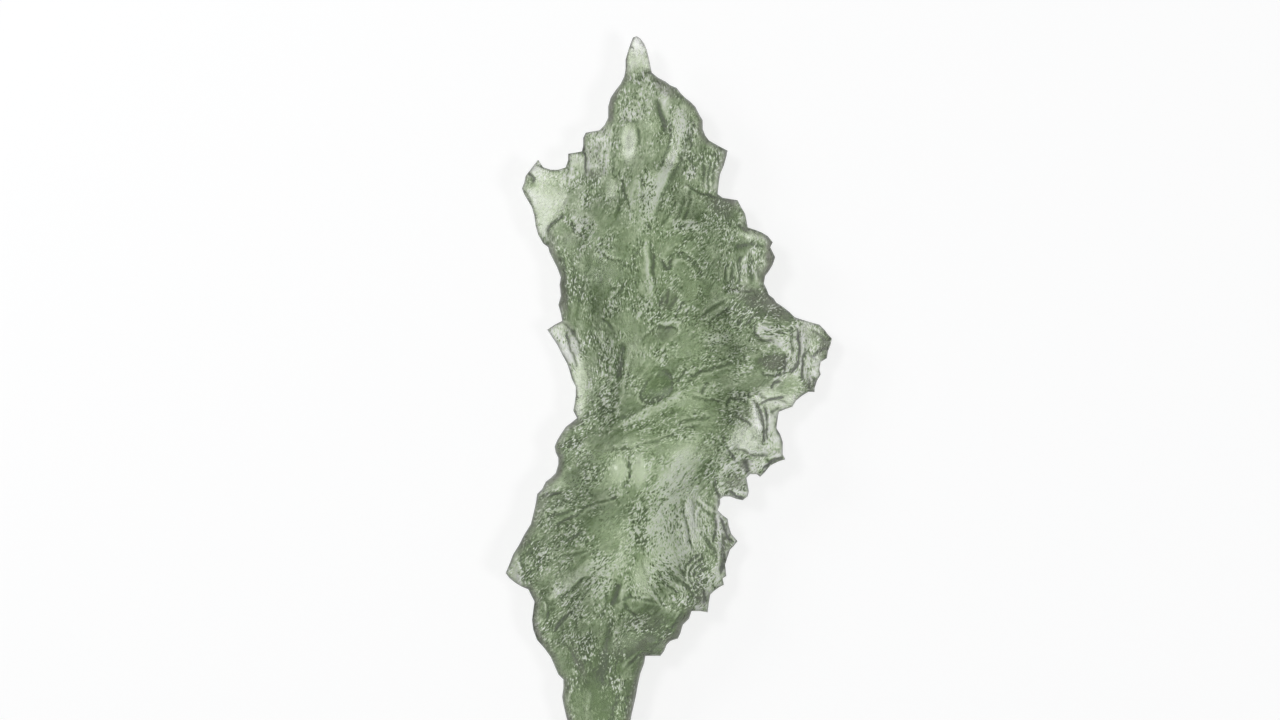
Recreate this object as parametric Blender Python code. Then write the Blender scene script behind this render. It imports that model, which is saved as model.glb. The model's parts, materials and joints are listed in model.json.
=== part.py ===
"""A moldavite: one flat, etched splinter of clear green natural glass, lying on its back.

The stone is a single closed solid made of two sheets that meet in its ragged outline. The
height of each sheet is a sum of plain fields: a thin fin all over, a body that stands on it
behind a ledge and thickens away from its edge, then lumps, pits, ridges and grooves.
The back is clamped to the plane it rests on, which leaves three flat spots.

Metres in Blender, millimetres in the values below. X runs across the stone, Y along it,
Z up from the surface it rests on. The origin is under the middle of the stone's box.
"""
import math

import bpy
import bmesh
import numpy as np
from mathutils import Vector, geometry

MM = 0.001

# The driving sizes, in millimetres
LENGTH = 60.2
WIDTH = 26.2
RIM_HEIGHT = 3.0
FIN_HALF = 0.40
FIN_ROUNDING = 0.45
LEDGE_STEP = 0.30
LEDGE_WIDTH = 0.60
FIN_TO_BODY = 4.5
FRONT_GROWTH = 7.5
BACK_GROWTH = 7.5
EDGE_STEEPNESS = 1.25
THINNEST_HALF = 0.22
POINT_SPACING = 0.66
INSET_ROW = 0.32
CLEAR_OF_ROW = 0.32

# How far the front and the back stand from the rim at stations along the stone
STATIONS_Y = (-30.0, -26.0, -20.0, -12.0, 0.0, 12.0, 20.0, 26.0, 30.0)
FRONT_RISE = (0.90, 1.50, 2.20, 2.70, 2.90, 2.80, 2.50, 1.80, 0.80)
BACK_DROP = (0.80, 1.50, 2.20, 2.80, 3.00, 2.90, 2.50, 1.70, 0.80)

# The outline, clockwise from the spire's top, as runs named for what they go round
SPIRE_RIGHT = [(-2.6, 30.1), (-2.3, 29.9), (-2.0, 29.5), (-1.8, 29.0), (-1.6, 28.2), (-1.4, 27.2)]
SHOULDER = [(-0.9, 26.8), (-0.3, 26.5), (0.1, 26.2), (0.6, 26.0), (0.9, 25.6), (1.3, 25.2),
            (1.7, 24.9), (2.1, 24.5), (2.4, 23.9), (2.7, 23.4), (2.7, 22.7), (2.9, 22.2)]
UPPER_RIGHT_FIN = [(3.2, 21.8), (3.9, 21.4), (4.7, 21.0), (4.6, 20.5), (4.4, 19.8), (4.1, 19.1),
                   (4.0, 18.4), (3.9, 17.5)]
RIGHT_STEP = [(4.3, 17.2), (4.9, 17.1), (5.5, 17.0), (5.8, 16.4), (6.1, 15.9), (6.2, 15.4),
              (6.3, 14.8), (6.9, 14.6), (7.4, 14.4), (7.9, 14.1), (8.5, 14.0), (8.3, 13.6),
              (8.1, 13.2), (8.3, 12.8), (8.5, 12.4), (8.3, 11.8), (8.0, 11.3), (7.7, 10.9),
              (7.6, 10.3), (7.8, 9.9), (8.0, 9.4), (8.4, 9.1), (8.6, 8.8)]
RIGHT_FIN = [(9.2, 8.4), (9.7, 8.0), (10.1, 7.6), (10.7, 7.4), (11.4, 7.2), (12.1, 7.0),
             (12.5, 6.6), (12.8, 6.2), (13.1, 5.9), (13.0, 5.4), (12.8, 4.9), (12.7, 4.3),
             (12.2, 4.0), (12.1, 3.4), (12.2, 3.0), (11.9, 2.5), (11.7, 1.9), (11.7, 1.6),
             (11.2, 1.6), (10.7, 1.3), (10.2, 0.9), (9.9, 0.4), (9.3, 0.2)]
SECOND_LOBE = [(8.8, 0.0), (8.7, -0.6), (8.6, -1.3), (8.9, -1.8), (9.1, -2.4), (9.1, -3.0),
               (9.1, -3.4), (9.3, -3.8), (8.7, -4.0), (8.1, -4.3), (7.7, -4.8), (7.3, -5.2),
               (7.0, -5.0), (6.5, -5.0), (6.2, -5.3), (6.3, -5.8), (6.4, -6.4), (6.3, -6.8),
               (5.9, -7.1), (5.4, -7.0), (4.9, -6.8), (4.4, -6.8), (4.1, -7.0), (4.1, -7.4)]
LOWER_RIGHT = [(3.9, -7.9), (4.3, -8.3), (4.7, -8.6), (4.8, -9.2), (5.0, -9.8), (5.5, -10.4),
               (5.2, -10.8), (4.9, -11.1), (4.7, -11.7), (4.5, -12.3), (4.6, -13.2),
               (4.3, -13.4), (4.4, -13.9), (4.0, -14.1), (3.6, -14.4), (3.3, -14.7),
               (3.2, -15.3), (3.1, -16.1), (2.5, -16.0), (1.8, -16.0), (1.6, -16.6),
               (1.1, -17.1), (0.9, -17.8), (0.7, -18.2), (0.1, -18.4), (-0.2, -18.7),
               (-0.4, -19.2), (-0.7, -19.6), (-1.3, -19.6), (-1.9, -19.6)]
STEM_RIGHT = [(-2.0, -20.2), (-2.3, -21.0), (-2.5, -21.9), (-2.7, -23.0), (-3.0, -24.3),
              (-3.2, -25.4), (-3.5, -26.6), (-3.8, -27.6), (-4.3, -28.6), (-4.8, -29.4),
              (-5.4, -29.9), (-5.8, -30.1)]
STEM_LEFT = [(-6.3, -29.7), (-6.7, -28.8), (-7.2, -27.8), (-7.6, -26.6), (-8.0, -25.5),
             (-8.3, -24.4), (-8.5, -23.5), (-8.6, -22.9), (-8.5, -22.2), (-8.5, -21.5)]
LOWER_LEFT = [(-8.9, -21.1), (-9.2, -20.4), (-9.5, -19.7), (-10.0, -19.0), (-10.6, -18.3),
              (-10.9, -17.5), (-11.0, -16.7), (-10.9, -15.9), (-10.8, -15.2), (-11.0, -14.8),
              (-11.3, -14.2), (-11.8, -14.0), (-12.3, -13.7), (-12.8, -13.3), (-13.1, -12.9),
              (-12.8, -12.2), (-12.5, -11.4), (-12.0, -10.6), (-11.6, -9.8), (-11.1, -9.0),
              (-10.9, -8.2), (-10.7, -7.3), (-10.6, -6.6), (-10.2, -6.2), (-9.9, -5.6),
              (-9.5, -5.3), (-9.1, -4.9), (-8.9, -4.2), (-8.9, -3.7), (-9.1, -3.3)]
LEFT_WAIST = [(-9.2, -2.8), (-9.0, -2.3), (-8.7, -1.8), (-8.3, -1.2), (-7.9, -0.9), (-7.4, -0.5),
              (-7.7, 0.1), (-7.6, 0.6), (-7.5, 1.3), (-7.5, 2.0), (-7.8, 2.6), (-8.0, 3.3),
              (-8.2, 3.9), (-8.6, 4.6), (-9.0, 5.4), (-9.4, 6.0), (-9.8, 6.6), (-9.2, 7.0)]
LEFT_SIDE = [(-8.6, 7.3), (-8.7, 7.9), (-8.9, 8.6), (-8.7, 9.3), (-8.8, 10.2), (-8.7, 10.8),
             (-9.0, 11.6), (-9.3, 12.2), (-9.6, 12.8), (-9.7, 13.2), (-10.1, 13.5)]
UPPER_LEFT_FIN = [(-10.5, 14.2), (-10.7, 14.9), (-10.8, 15.7), (-11.0, 16.4), (-11.3, 16.9),
                  (-11.6, 17.4), (-11.8, 17.9), (-11.6, 18.4), (-11.5, 18.9), (-11.2, 19.3),
                  (-10.9, 19.7), (-10.5, 20.2), (-10.1, 19.6), (-9.5, 19.4), (-8.9, 19.4),
                  (-8.3, 19.6), (-8.1, 20.2), (-8.1, 20.7), (-8.6, 21.1), (-8.0, 21.0),
                  (-7.5, 20.8), (-7.0, 20.9)]
UPPER_LEFT = [(-6.9, 21.4), (-6.9, 22.0), (-6.7, 22.4), (-6.2, 22.5), (-5.6, 22.6),
              (-5.2, 23.0), (-4.9, 23.6), (-4.9, 24.5), (-4.7, 25.2), (-4.3, 25.8),
              (-3.9, 26.3), (-3.6, 26.9)]
SPIRE_LEFT = [(-3.5, 27.5), (-3.5, 28.2), (-3.3, 28.9), (-3.1, 29.5), (-2.9, 30.0)]
OUTLINE = (SPIRE_RIGHT + SHOULDER + UPPER_RIGHT_FIN + RIGHT_STEP + RIGHT_FIN + SECOND_LOBE
           + LOWER_RIGHT + STEM_RIGHT + STEM_LEFT + LOWER_LEFT + LEFT_WAIST + LEFT_SIDE
           + UPPER_LEFT_FIN + UPPER_LEFT + SPIRE_LEFT)

# The body's own edge: the ledge over the thin fins. Between fins it runs outside the outline.
BODY_EDGE = [(-3.6, 26.7), (-2.3, 27.2), (-1.4, 27.2), (1.0, 28.0), (4.0, 24.5), (2.8, 22.4),
             (2.9, 21.0), (2.8, 19.4), (3.0, 17.6), (4.2, 17.3), (5.1, 15.8), (5.5, 14.7),
             (5.3, 13.6), (4.7, 12.6), (4.4, 11.4), (4.7, 9.9), (5.8, 9.6), (7.0, 9.6),
             (7.7, 9.0), (7.9, 7.8), (6.9, 7.0), (7.0, 6.2), (8.5, 5.6), (9.4, 5.0),
             (9.4, 3.5), (8.5, 2.7), (7.4, 1.9), (6.7, 1.1), (7.0, 0.0), (7.4, -1.0),
             (7.7, -2.2), (7.7, -3.3), (6.5, -3.7), (5.5, -4.2), (4.6, -5.3), (4.2, -6.2),
             (4.8, -7.5), (3.7, -8.2), (3.6, -9.8), (3.9, -11.0), (3.8, -12.6), (3.4, -14.1),
             (2.1, -14.4), (1.7, -15.0), (2.4, -17.5), (0.0, -22.0), (-2.0, -31.0),
             (-8.0, -31.0), (-11.0, -20.0), (-10.1, -18.2), (-10.0, -15.8), (-10.3, -14.4),
             (-11.3, -13.8), (-11.9, -13.3), (-12.0, -11.8), (-11.9, -10.6), (-12.5, -8.0),
             (-10.5, -3.0), (-9.0, -0.6), (-6.7, 0.0), (-6.4, 1.4), (-6.5, 3.0), (-6.9, 4.3),
             (-7.3, 5.6), (-7.8, 6.6), (-8.6, 7.4), (-9.8, 8.0), (-9.8, 11.5), (-10.1, 13.5),
             (-9.5, 15.2), (-8.7, 16.0), (-8.3, 17.0), (-7.0, 18.6), (-6.7, 19.5),
             (-6.7, 20.2), (-6.9, 21.1), (-7.6, 23.0), (-6.0, 25.5), (-4.3, 27.0)]

# Lumps (raised) and pits (sunk) of the front: centre X and Y, half-widths X and Y, height
FRONT_LUMPS = [
    (-1.5, 22.5, 3.0, 4.0, 0.35), (1.7, 13.8, 3.5, 3.5, 0.35), (-5.5, 9.8, 2.5, 3.5, 0.30),
    (1.7, 1.0, 4.5, 3.5, 0.45), (-3.9, -4.6, 2.5, 2.0, 0.30), (1.7, -4.6, 3.5, 2.0, 0.35),
    (-8.7, -7.8, 2.0, 2.5, 0.30), (0.9, -9.4, 3.0, 3.5, 0.40), (-2.3, -13.4, 2.2, 2.2, 0.30),
    (-5.5, -21.4, 2.2, 4.0, 0.30), (2.5, -15.2, 0.9, 0.9, 0.60), (5.5, -6.2, 0.9, 0.7, 0.60),
    (8.5, 8.0, 0.8, 0.7, 0.60), (11.4, 5.4, 1.2, 1.2, 0.35), (-11.3, 18.0, 0.6, 0.9, 0.30),
    (-6.9, 14.8, 1.1, 0.9, -0.80), (-3.0, 23.8, 0.7, 0.6, -0.45), (-0.6, 4.2, 0.7, 0.8, -0.50),
    (-1.1, 1.8, 1.6, 1.1, -0.60), (-0.3, 6.2, 1.1, 0.8, -0.55), (8.1, 4.2, 1.2, 0.9, -0.60),
    (-2.3, -9.0, 1.0, 1.8, -0.35), (-2.3, -16.6, 1.1, 0.8, -0.50), (-0.7, 23.6, 0.6, 1.5, -0.50),
    (-6.4, -12.8, 2.2, 1.6, -0.40), (-3.6, 7.6, 1.0, 1.4, -0.35),
]

# Ridges (raised) and grooves (sunk) of the front: half-width, height, then the line they follow
FRONT_LINES = [
    (0.8, -0.55, [(-1.5, 0.6), (-0.1, 1.6), (1.7, 2.9), (3.3, 3.5), (5.3, 3.8), (6.5, 5.0),
                  (7.4, 5.6)]),
    (0.6, -0.35, [(-5.5, -3.2), (-3.7, -3.0), (-1.1, -2.3), (0.9, -1.6), (4.0, -1.3),
                  (6.6, -0.9)]),
    (0.7, -0.45, [(-8.9, -10.0), (-7.5, -8.4), (-5.5, -7.0), (-4.3, -6.6)]),
    (0.6, -0.70, [(-6.2, -13.4), (-7.1, -14.4), (-8.7, -16.6), (-9.9, -17.8)]),
    (0.6, -0.60, [(-3.9, -13.8), (-4.6, -15.4), (-5.0, -18.2), (-5.3, -20.2)]),
    (0.5, -0.35, [(-2.3, -11.8), (-1.9, -13.0), (-1.1, -14.2), (-0.6, -15.4)]),
    (0.6, -0.50, [(0.6, -10.6), (1.4, -12.2), (2.4, -13.4)]),
    (0.6, 0.60, [(1.0, 23.4), (0.8, 21.4), (0.2, 19.6), (-0.9, 17.6), (-1.7, 15.4)]),
    (0.6, -0.50, [(-0.1, 23.4), (0.2, 21.6), (-0.4, 19.8)]),
    (0.5, -0.50, [(1.8, 17.8), (2.0, 16.2), (1.0, 15.0), (-0.4, 14.4)]),
    (0.6, -0.60, [(-1.2, 13.8), (-0.3, 11.8), (-0.4, 9.6), (0.6, 8.2)]),
    (0.5, 0.45, [(-1.9, 14.0), (-1.7, 12.0), (-1.5, 9.2)]),
    (0.5, -0.50, [(0.0, 12.0), (0.7, 12.8), (1.8, 12.2), (2.5, 10.8)]),
    (0.5, -0.45, [(-3.7, 5.6), (-3.7, 3.8), (-4.4, 2.4)]),
    (0.5, 0.35, [(-4.2, -0.6), (-2.4, -0.4), (-0.8, 0.8), (1.2, 2.0)]),
    (0.5, -0.35, [(-3.4, -3.4), (-3.2, -5.4)]),
    (0.5, 0.40, [(10.7, 6.2), (10.7, 4.6), (10.5, 3.4)]),
    (0.5, -0.35, [(4.6, -12.0), (4.0, -12.9), (3.2, -13.0)]),
]

# The rim's own bends: where the edge rises or droops between the two sheets
RIM_BENDS = [
    (-10.5, 17.5, 3.5, 4.0, 0.90), (11.5, 5.0, 3.5, 4.5, -0.90), (8.0, -3.0, 2.5, 3.0, 0.60),
    (-12.0, -12.5, 4.0, 4.0, 0.80), (-2.6, 29.0, 3.0, 3.5, 0.70), (-5.6, -28.0, 5.0, 6.0, -0.90),
    (5.0, -11.5, 3.0, 3.0, -0.60), (4.8, 19.5, 2.5, 2.5, -0.70), (-9.6, 6.4, 2.0, 2.5, -0.50),
    (7.6, 12.8, 2.5, 2.5, 0.50),
]

# The back, which rests: three feet, then the hollows between them
BACK_LUMPS = [
    (1.2, 12.6, 3.2, 4.4, 0.95), (-1.0, -1.0, 4.2, 4.6, 0.95), (-3.6, -12.6, 3.8, 3.8, 1.05),
    (-3.0, 18.6, 2.0, 2.4, -0.45), (-5.6, 8.4, 2.0, 2.4, -0.40), (3.6, 5.6, 2.4, 1.6, -0.50),
    (-7.4, -7.0, 2.0, 1.6, -0.40), (1.6, -9.6, 1.6, 2.2, -0.45), (-5.6, -20.6, 1.6, 2.6, -0.40),
]
BACK_LINES = [
    (0.7, -0.50, [(-6.4, 4.2), (-3.2, 5.8), (0.4, 6.4), (4.6, 8.2)]),
    (0.7, -0.50, [(-9.0, -5.6), (-5.4, -7.4), (-1.2, -7.4), (2.8, -6.2)]),
    (0.6, -0.45, [(-1.8, -16.4), (-3.6, -18.0), (-6.2, -18.4), (-8.8, -18.0)]),
    (0.6, -0.40, [(-4.4, 21.6), (-2.2, 20.4), (1.4, 19.8)]),
]

GLASS_COLOUR = (0.27, 0.38, 0.16, 1.0)
GLASS_ROUGHNESS = 0.18


def distance_to_line(points, line):
    """Distance from each point to an open line: the smallest over its straight pieces."""
    line = np.asarray(line)
    nearest = np.full(len(points), np.inf)
    for start, end in zip(line[:-1], line[1:]):
        along = end - start
        part = np.clip((points - start) @ along / (along @ along), 0.0, 1.0)
        foot = start + part[:, None] * along
        nearest = np.minimum(nearest, np.hypot(*(points - foot).T))
    return nearest


def inside_ring(points, ring):
    """True where a ray towards +X crosses the closed ring an odd number of times."""
    x, y = points.T
    inside = np.zeros(len(points), dtype=bool)
    ring = np.asarray(ring)
    for (x0, y0), (x1, y1) in zip(ring, np.roll(ring, -1, axis=0)):
        if y0 == y1:
            continue
        spans = (y0 > y) != (y1 > y)
        inside ^= spans & (x < x0 + (y - y0) * (x1 - x0) / (y1 - y0))
    return inside


def depth_in_ring(points, ring):
    """Distance to a closed ring, positive inside it and negative outside."""
    closed = np.vstack([ring, ring[:1]])
    distance = distance_to_line(points, closed)
    return np.where(inside_ring(points, ring), distance, -distance)


def rounded_edge(depth, width):
    """A quarter of an ellipse: 0 at the edge, 1 from the given width inwards."""
    part = np.clip(depth / width, 0.0, 1.0)
    return np.sqrt(1.0 - (1.0 - part) ** 2)


def smooth_step(depth, width):
    """0 at the edge, 1 from the given width inwards, level at both ends."""
    part = np.clip(depth / width, 0.0, 1.0)
    return part * part * (3.0 - 2.0 * part)


def thickening(depth, reach):
    """The body's swell away from the rim: steepest at the rim, gentlest where it is full."""
    part = np.clip(depth / reach, 0.0, 1.0)
    return part * (EDGE_STEEPNESS - (EDGE_STEEPNESS - 1.0) * part)


def lump_field(points, lumps):
    """Sum of bell-shaped lumps and pits."""
    x, y = points.T
    total = np.zeros(len(points))
    for centre_x, centre_y, half_x, half_y, height in lumps:
        total += height * np.exp(-((x - centre_x) / half_x) ** 2 - ((y - centre_y) / half_y) ** 2)
    return total


def line_field(points, lines):
    """Sum of bell-shaped ridges and grooves along their lines."""
    total = np.zeros(len(points))
    for half_width, height, line in lines:
        total += height * np.exp(-(distance_to_line(points, line) / half_width) ** 2)
    return total


def half_thickness(points, rim_depth, rise, growth, lumps, lines):
    """Height of one sheet over the rim: fin, then ledge and swell, then relief."""
    body_depth = depth_in_ring(points, np.array(BODY_EDGE))
    full = np.interp(points[:, 1], STATIONS_Y, rise)
    swell = np.maximum(full - FIN_HALF - LEDGE_STEP, 0.0) * thickening(rim_depth, growth)
    swell = swell * smooth_step(body_depth, FIN_TO_BODY)
    height = FIN_HALF + LEDGE_STEP * smooth_step(body_depth, LEDGE_WIDTH) + swell
    height = height + lump_field(points, lumps) + line_field(points, lines)
    return rounded_edge(rim_depth, FIN_ROUNDING) * np.maximum(height, THINNEST_HALF)


def inset_row(ring):
    """A row of points just inside the outline, which keeps the rim's wall steep."""
    before = np.roll(ring, 1, axis=0)
    after = np.roll(ring, -1, axis=0)
    along = after - before
    inwards = np.stack([along[:, 1], -along[:, 0]], axis=1) / np.hypot(*along.T)[:, None]
    row = ring + INSET_ROW * inwards
    return row[depth_in_ring(row, ring) > 0.6 * INSET_ROW]


def inner_points(ring, row):
    """Rows of evenly spaced points, each row shifted by half a step, clear of the rim's row."""
    step_y = POINT_SPACING * math.sqrt(0.75)
    points = []
    for number, y in enumerate(np.arange(-LENGTH / 2, LENGTH / 2, step_y)):
        start = -WIDTH / 2 + (number % 2) * POINT_SPACING / 2
        x = np.arange(start, WIDTH / 2, POINT_SPACING)
        points.append(np.stack([x, np.full(len(x), y)], axis=1))
    points = np.concatenate(points)
    points = points[depth_in_ring(points, ring) > INSET_ROW + CLEAR_OF_ROW]
    gaps = points[:, None, :] - row[None, :, :]
    return points[np.hypot(gaps[..., 0], gaps[..., 1]).min(axis=1) > CLEAR_OF_ROW]


def thin_row(row):
    """The row without points that crowd the one kept before them."""
    kept = [row[0]]
    for point in row[1:]:
        if math.dist(point, kept[-1]) > CLEAR_OF_ROW:
            kept.append(point)
    return np.array(kept)


def flat_triangles(ring):
    """Points and triangles that fill the outline, seen from above."""
    row = thin_row(inset_row(ring))
    points = np.concatenate([ring, row, inner_points(ring, row)])
    edges = [(i, (i + 1) % len(ring)) for i in range(len(ring))]
    filled = geometry.delaunay_2d_cdt([Vector(p) for p in points], edges, [], 1, 1e-6)
    flat = np.array([tuple(point) for point in filled[0]])
    triangles = np.array([triangle for triangle in filled[2]])
    first, second, third = (flat[triangles[:, i]] for i in range(3))
    side, other = second - first, third - first
    turning = side[:, 0] * other[:, 1] - side[:, 1] * other[:, 0]
    triangles[turning < 0] = triangles[turning < 0][:, ::-1]
    return flat, triangles


def stone_sheets():
    """Front and back sheets of the stone, which share the points of the rim."""
    ring = np.array(OUTLINE)
    flat, triangles = flat_triangles(ring)
    rim_depth = np.maximum(depth_in_ring(flat, ring), 0.0)
    on_rim = rim_depth < 1e-4
    rise = half_thickness(flat, rim_depth, FRONT_RISE, FRONT_GROWTH, FRONT_LUMPS, FRONT_LINES)
    drop = half_thickness(flat, rim_depth, BACK_DROP, BACK_GROWTH, BACK_LUMPS, BACK_LINES)
    rim_height = RIM_HEIGHT + lump_field(flat, RIM_BENDS)
    front_z = rim_height + np.where(on_rim, 0.0, rise)
    back_z = np.maximum(rim_height - drop, 0.0)
    front = np.column_stack([flat, front_z])
    back = np.column_stack([flat, back_z])[~on_rim]
    twin = np.arange(len(flat))
    twin[~on_rim] = len(flat) + np.arange(len(back))
    return np.concatenate([front, back]), np.concatenate([triangles, twin[triangles][:, ::-1]])


def glass_material():
    """Clear green natural glass with a satin, etched skin."""
    material = bpy.data.materials.new("moldavite_glass")
    material.use_nodes = True
    shader = material.node_tree.nodes["Principled BSDF"]
    shader.inputs["Base Color"].default_value = GLASS_COLOUR
    shader.inputs["Roughness"].default_value = GLASS_ROUGHNESS
    shader.inputs["Metallic"].default_value = 0.0
    return material


def build_stone():
    """The stone as one closed mesh, smooth shaded."""
    points, triangles = stone_sheets()
    mesh = bpy.data.meshes.new("moldavite")
    mesh.from_pydata((points * MM).tolist(), [], triangles.tolist())
    shape = bmesh.new()
    shape.from_mesh(mesh)
    bmesh.ops.recalc_face_normals(shape, faces=shape.faces)
    shape.to_mesh(mesh)
    shape.free()
    mesh.shade_smooth()
    mesh.materials.append(glass_material())
    stone = bpy.data.objects.new("moldavite", mesh)
    bpy.context.collection.objects.link(stone)
    return stone


for leftover in list(bpy.data.objects):
    bpy.data.objects.remove(leftover)
build_stone()
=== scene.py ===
# %% [markdown]
# A moldavite on a light table
#
# A moldavite is natural glass: green, clear, and eaten by soil acids until its skin is all
# furrows, pits, sharp little ridges and thin fins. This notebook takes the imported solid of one
# such stone, reads its form and its rim, and carves that skin into a finer mesh.
# Everything is worked out as whole numpy arrays, so each step is a few short formulas.

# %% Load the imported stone
import json
import math

import bpy
import numpy as np
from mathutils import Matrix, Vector, geometry

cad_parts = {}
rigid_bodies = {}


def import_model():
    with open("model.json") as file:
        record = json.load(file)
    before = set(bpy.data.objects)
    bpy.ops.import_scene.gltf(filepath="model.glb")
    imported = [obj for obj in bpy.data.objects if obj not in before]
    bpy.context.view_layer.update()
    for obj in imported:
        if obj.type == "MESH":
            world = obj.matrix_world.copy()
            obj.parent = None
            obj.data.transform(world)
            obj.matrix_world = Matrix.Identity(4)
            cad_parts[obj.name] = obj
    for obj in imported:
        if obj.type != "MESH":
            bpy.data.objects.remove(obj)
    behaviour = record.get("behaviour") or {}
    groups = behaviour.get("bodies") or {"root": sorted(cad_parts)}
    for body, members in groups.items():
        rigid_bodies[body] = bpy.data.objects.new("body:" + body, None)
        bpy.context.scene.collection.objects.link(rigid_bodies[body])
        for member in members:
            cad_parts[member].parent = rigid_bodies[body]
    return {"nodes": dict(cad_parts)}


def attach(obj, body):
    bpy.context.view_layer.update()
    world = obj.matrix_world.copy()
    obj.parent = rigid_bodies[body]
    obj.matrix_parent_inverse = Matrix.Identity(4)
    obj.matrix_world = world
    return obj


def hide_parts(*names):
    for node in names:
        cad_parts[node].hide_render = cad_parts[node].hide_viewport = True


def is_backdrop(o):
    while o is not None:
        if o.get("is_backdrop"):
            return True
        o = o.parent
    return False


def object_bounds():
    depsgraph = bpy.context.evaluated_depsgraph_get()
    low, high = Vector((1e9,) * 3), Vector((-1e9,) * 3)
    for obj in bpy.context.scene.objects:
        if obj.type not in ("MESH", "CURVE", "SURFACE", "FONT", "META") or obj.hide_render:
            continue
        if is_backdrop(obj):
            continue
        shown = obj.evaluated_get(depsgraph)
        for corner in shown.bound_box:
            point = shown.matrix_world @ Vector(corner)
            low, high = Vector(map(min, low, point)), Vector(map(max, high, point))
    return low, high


for leftover in list(bpy.data.objects):
    bpy.data.objects.remove(leftover)
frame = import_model()
MM = 0.001
cad_low, cad_high = (np.array(corner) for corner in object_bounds())
print("packed stone, mm:", np.round((cad_high - cad_low) / MM, 2))

# %% [markdown]
# The camera and the picture's grid
#
# The stone lies on its back and the camera looks straight down on it. The frame is 1280 steps
# wide and 720 high, and one step is 0.08 mm on the stone, so a frame is 102.4 mm across. A long
# lens from 300 mm up keeps the edges of the stone from leaning outwards.
# Small features are easiest to place by counting steps right and down on that grid, so a
# function turns such places into millimetres on the stone.

# %% The camera
STEP = 0.08
GRID_MIDDLE = (669.25, 412.0)
FRAME_STEPS = (1280, 720)
CAMERA_HEIGHT = 300.0
STONE_LEVEL = 4.0
SENSOR = 36.0


def on_stone(places):
    """Grid places to millimetres: take off the stone's middle, scale, and turn Y upwards."""
    return (np.asarray(places, dtype=float) - GRID_MIDDLE) * (STEP, -STEP)


frame_middle = on_stone((FRAME_STEPS[0] / 2, FRAME_STEPS[1] / 2))
camera_data = bpy.data.cameras.new("looking_down")
camera_data.sensor_width = SENSOR
camera_data.lens = SENSOR * (CAMERA_HEIGHT - STONE_LEVEL) / (FRAME_STEPS[0] * STEP)
camera_data.clip_start = 0.01
camera_data.clip_end = 5.0
camera = bpy.data.objects.new("looking_down", camera_data)
camera.location = (frame_middle[0] * MM, frame_middle[1] * MM, CAMERA_HEIGHT * MM)
bpy.context.scene.collection.objects.link(camera)
bpy.context.scene.camera = camera
print("lens, mm:", round(camera_data.lens, 1), "over", np.round(frame_middle, 2))

# %% [markdown]
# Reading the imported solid
#
# The solid is two sheets that meet in the stone's ragged rim. Its mesh comes as loose triangles,
# so corners at one place are first merged. The edges that only one upward triangle uses are the
# rim, and following them from point to point gives the outline in order.

# %% The two sheets and the rim


def merged(mesh):
    """Points in millimetres and triangles, with the corners at one place made one point."""
    mesh.calc_loop_triangles()
    corners = np.empty(len(mesh.vertices) * 3, dtype=np.float32)
    mesh.vertices.foreach_get("co", corners)
    triangles = np.empty(len(mesh.loop_triangles) * 3, dtype=np.int32)
    mesh.loop_triangles.foreach_get("vertices", triangles)
    microns = np.round(corners.reshape(-1, 3).astype(float) * 1e6)
    points, index = np.unique(microns, axis=0, return_inverse=True)
    return points / 1000.0, index.reshape(-1)[triangles].reshape(-1, 3)


def upward_area(points, triangles):
    """Twice the area that each triangle covers seen from above, positive if it faces up."""
    first, second, third = (points[triangles[:, i], :2] for i in range(3))
    side, other = second - first, third - first
    return side[:, 0] * other[:, 1] - side[:, 1] * other[:, 0]


def rim_in_order(triangles):
    """The edges that one triangle alone uses, followed from point to point."""
    edges = np.concatenate([triangles[:, [i, (i + 1) % 3]] for i in range(3)])
    pairs, first, count = np.unique(np.sort(edges, axis=1), axis=0, return_index=True,
                                    return_counts=True)
    onwards = dict(edges[first[count == 1]].tolist())
    order = [next(iter(onwards))]
    while onwards[order[-1]] != order[0]:
        order.append(onwards[order[-1]])
    return np.array(order)


cad_points, cad_triangles = merged(frame["nodes"]["moldavite"].data)
facing = upward_area(cad_points, cad_triangles)
front_triangles = cad_triangles[facing > 0]
back_triangles = cad_triangles[facing < 0]
rim = cad_points[rim_in_order(front_triangles)]
print("rim points:", len(rim), "front and back triangles:", len(front_triangles),
      len(back_triangles))

# %% [markdown]
# Maps of the stone
#
# Relief is easiest to carve on a map: a grid of heights seen from above, 0.05 mm a cell. Each
# map is one numpy array. Adding a furrow is adding an array, and softening a map is a blur.

# %% The map's grid and its helpers
CELL = 0.05
MARGIN = 0.8
half_box = (cad_high - cad_low)[:2] / MM / 2 + MARGIN
map_x = np.arange(-half_box[0], half_box[0], CELL)
map_y = np.arange(-half_box[1], half_box[1], CELL)
X, Y = np.meshgrid(map_x, map_y)


def read_map(field, x, y):
    """The map's value between its cells, weighted by how near each of four cells is."""
    column = np.clip((x - map_x[0]) / CELL, 0, len(map_x) - 1.001)
    row = np.clip((y - map_y[0]) / CELL, 0, len(map_y) - 1.001)
    left, low = column.astype(int), row.astype(int)
    right_share, high_share = column - left, row - low
    lower = field[low, left] * (1 - right_share) + field[low, left + 1] * right_share
    upper = field[low + 1, left] * (1 - right_share) + field[low + 1, left + 1] * right_share
    return lower * (1 - high_share) + upper * high_share


def blurred(field, width):
    """Average by a bell of the given width. On the map's frequencies that is one product."""
    along, across = (np.fft.fftfreq(count, CELL) for count in field.shape)
    bell = np.exp(-2 * (math.pi * width) ** 2 * (along[:, None] ** 2 + across[None, :] ** 2))
    return np.fft.ifft2(np.fft.fft2(field) * bell).real


def smooth_step(value, start, end):
    """0 before start, 1 after end, and level at both."""
    part = np.clip((value - start) / (end - start), 0.0, 1.0)
    return part * part * (3.0 - 2.0 * part)


print("map cells:", X.shape)

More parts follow.
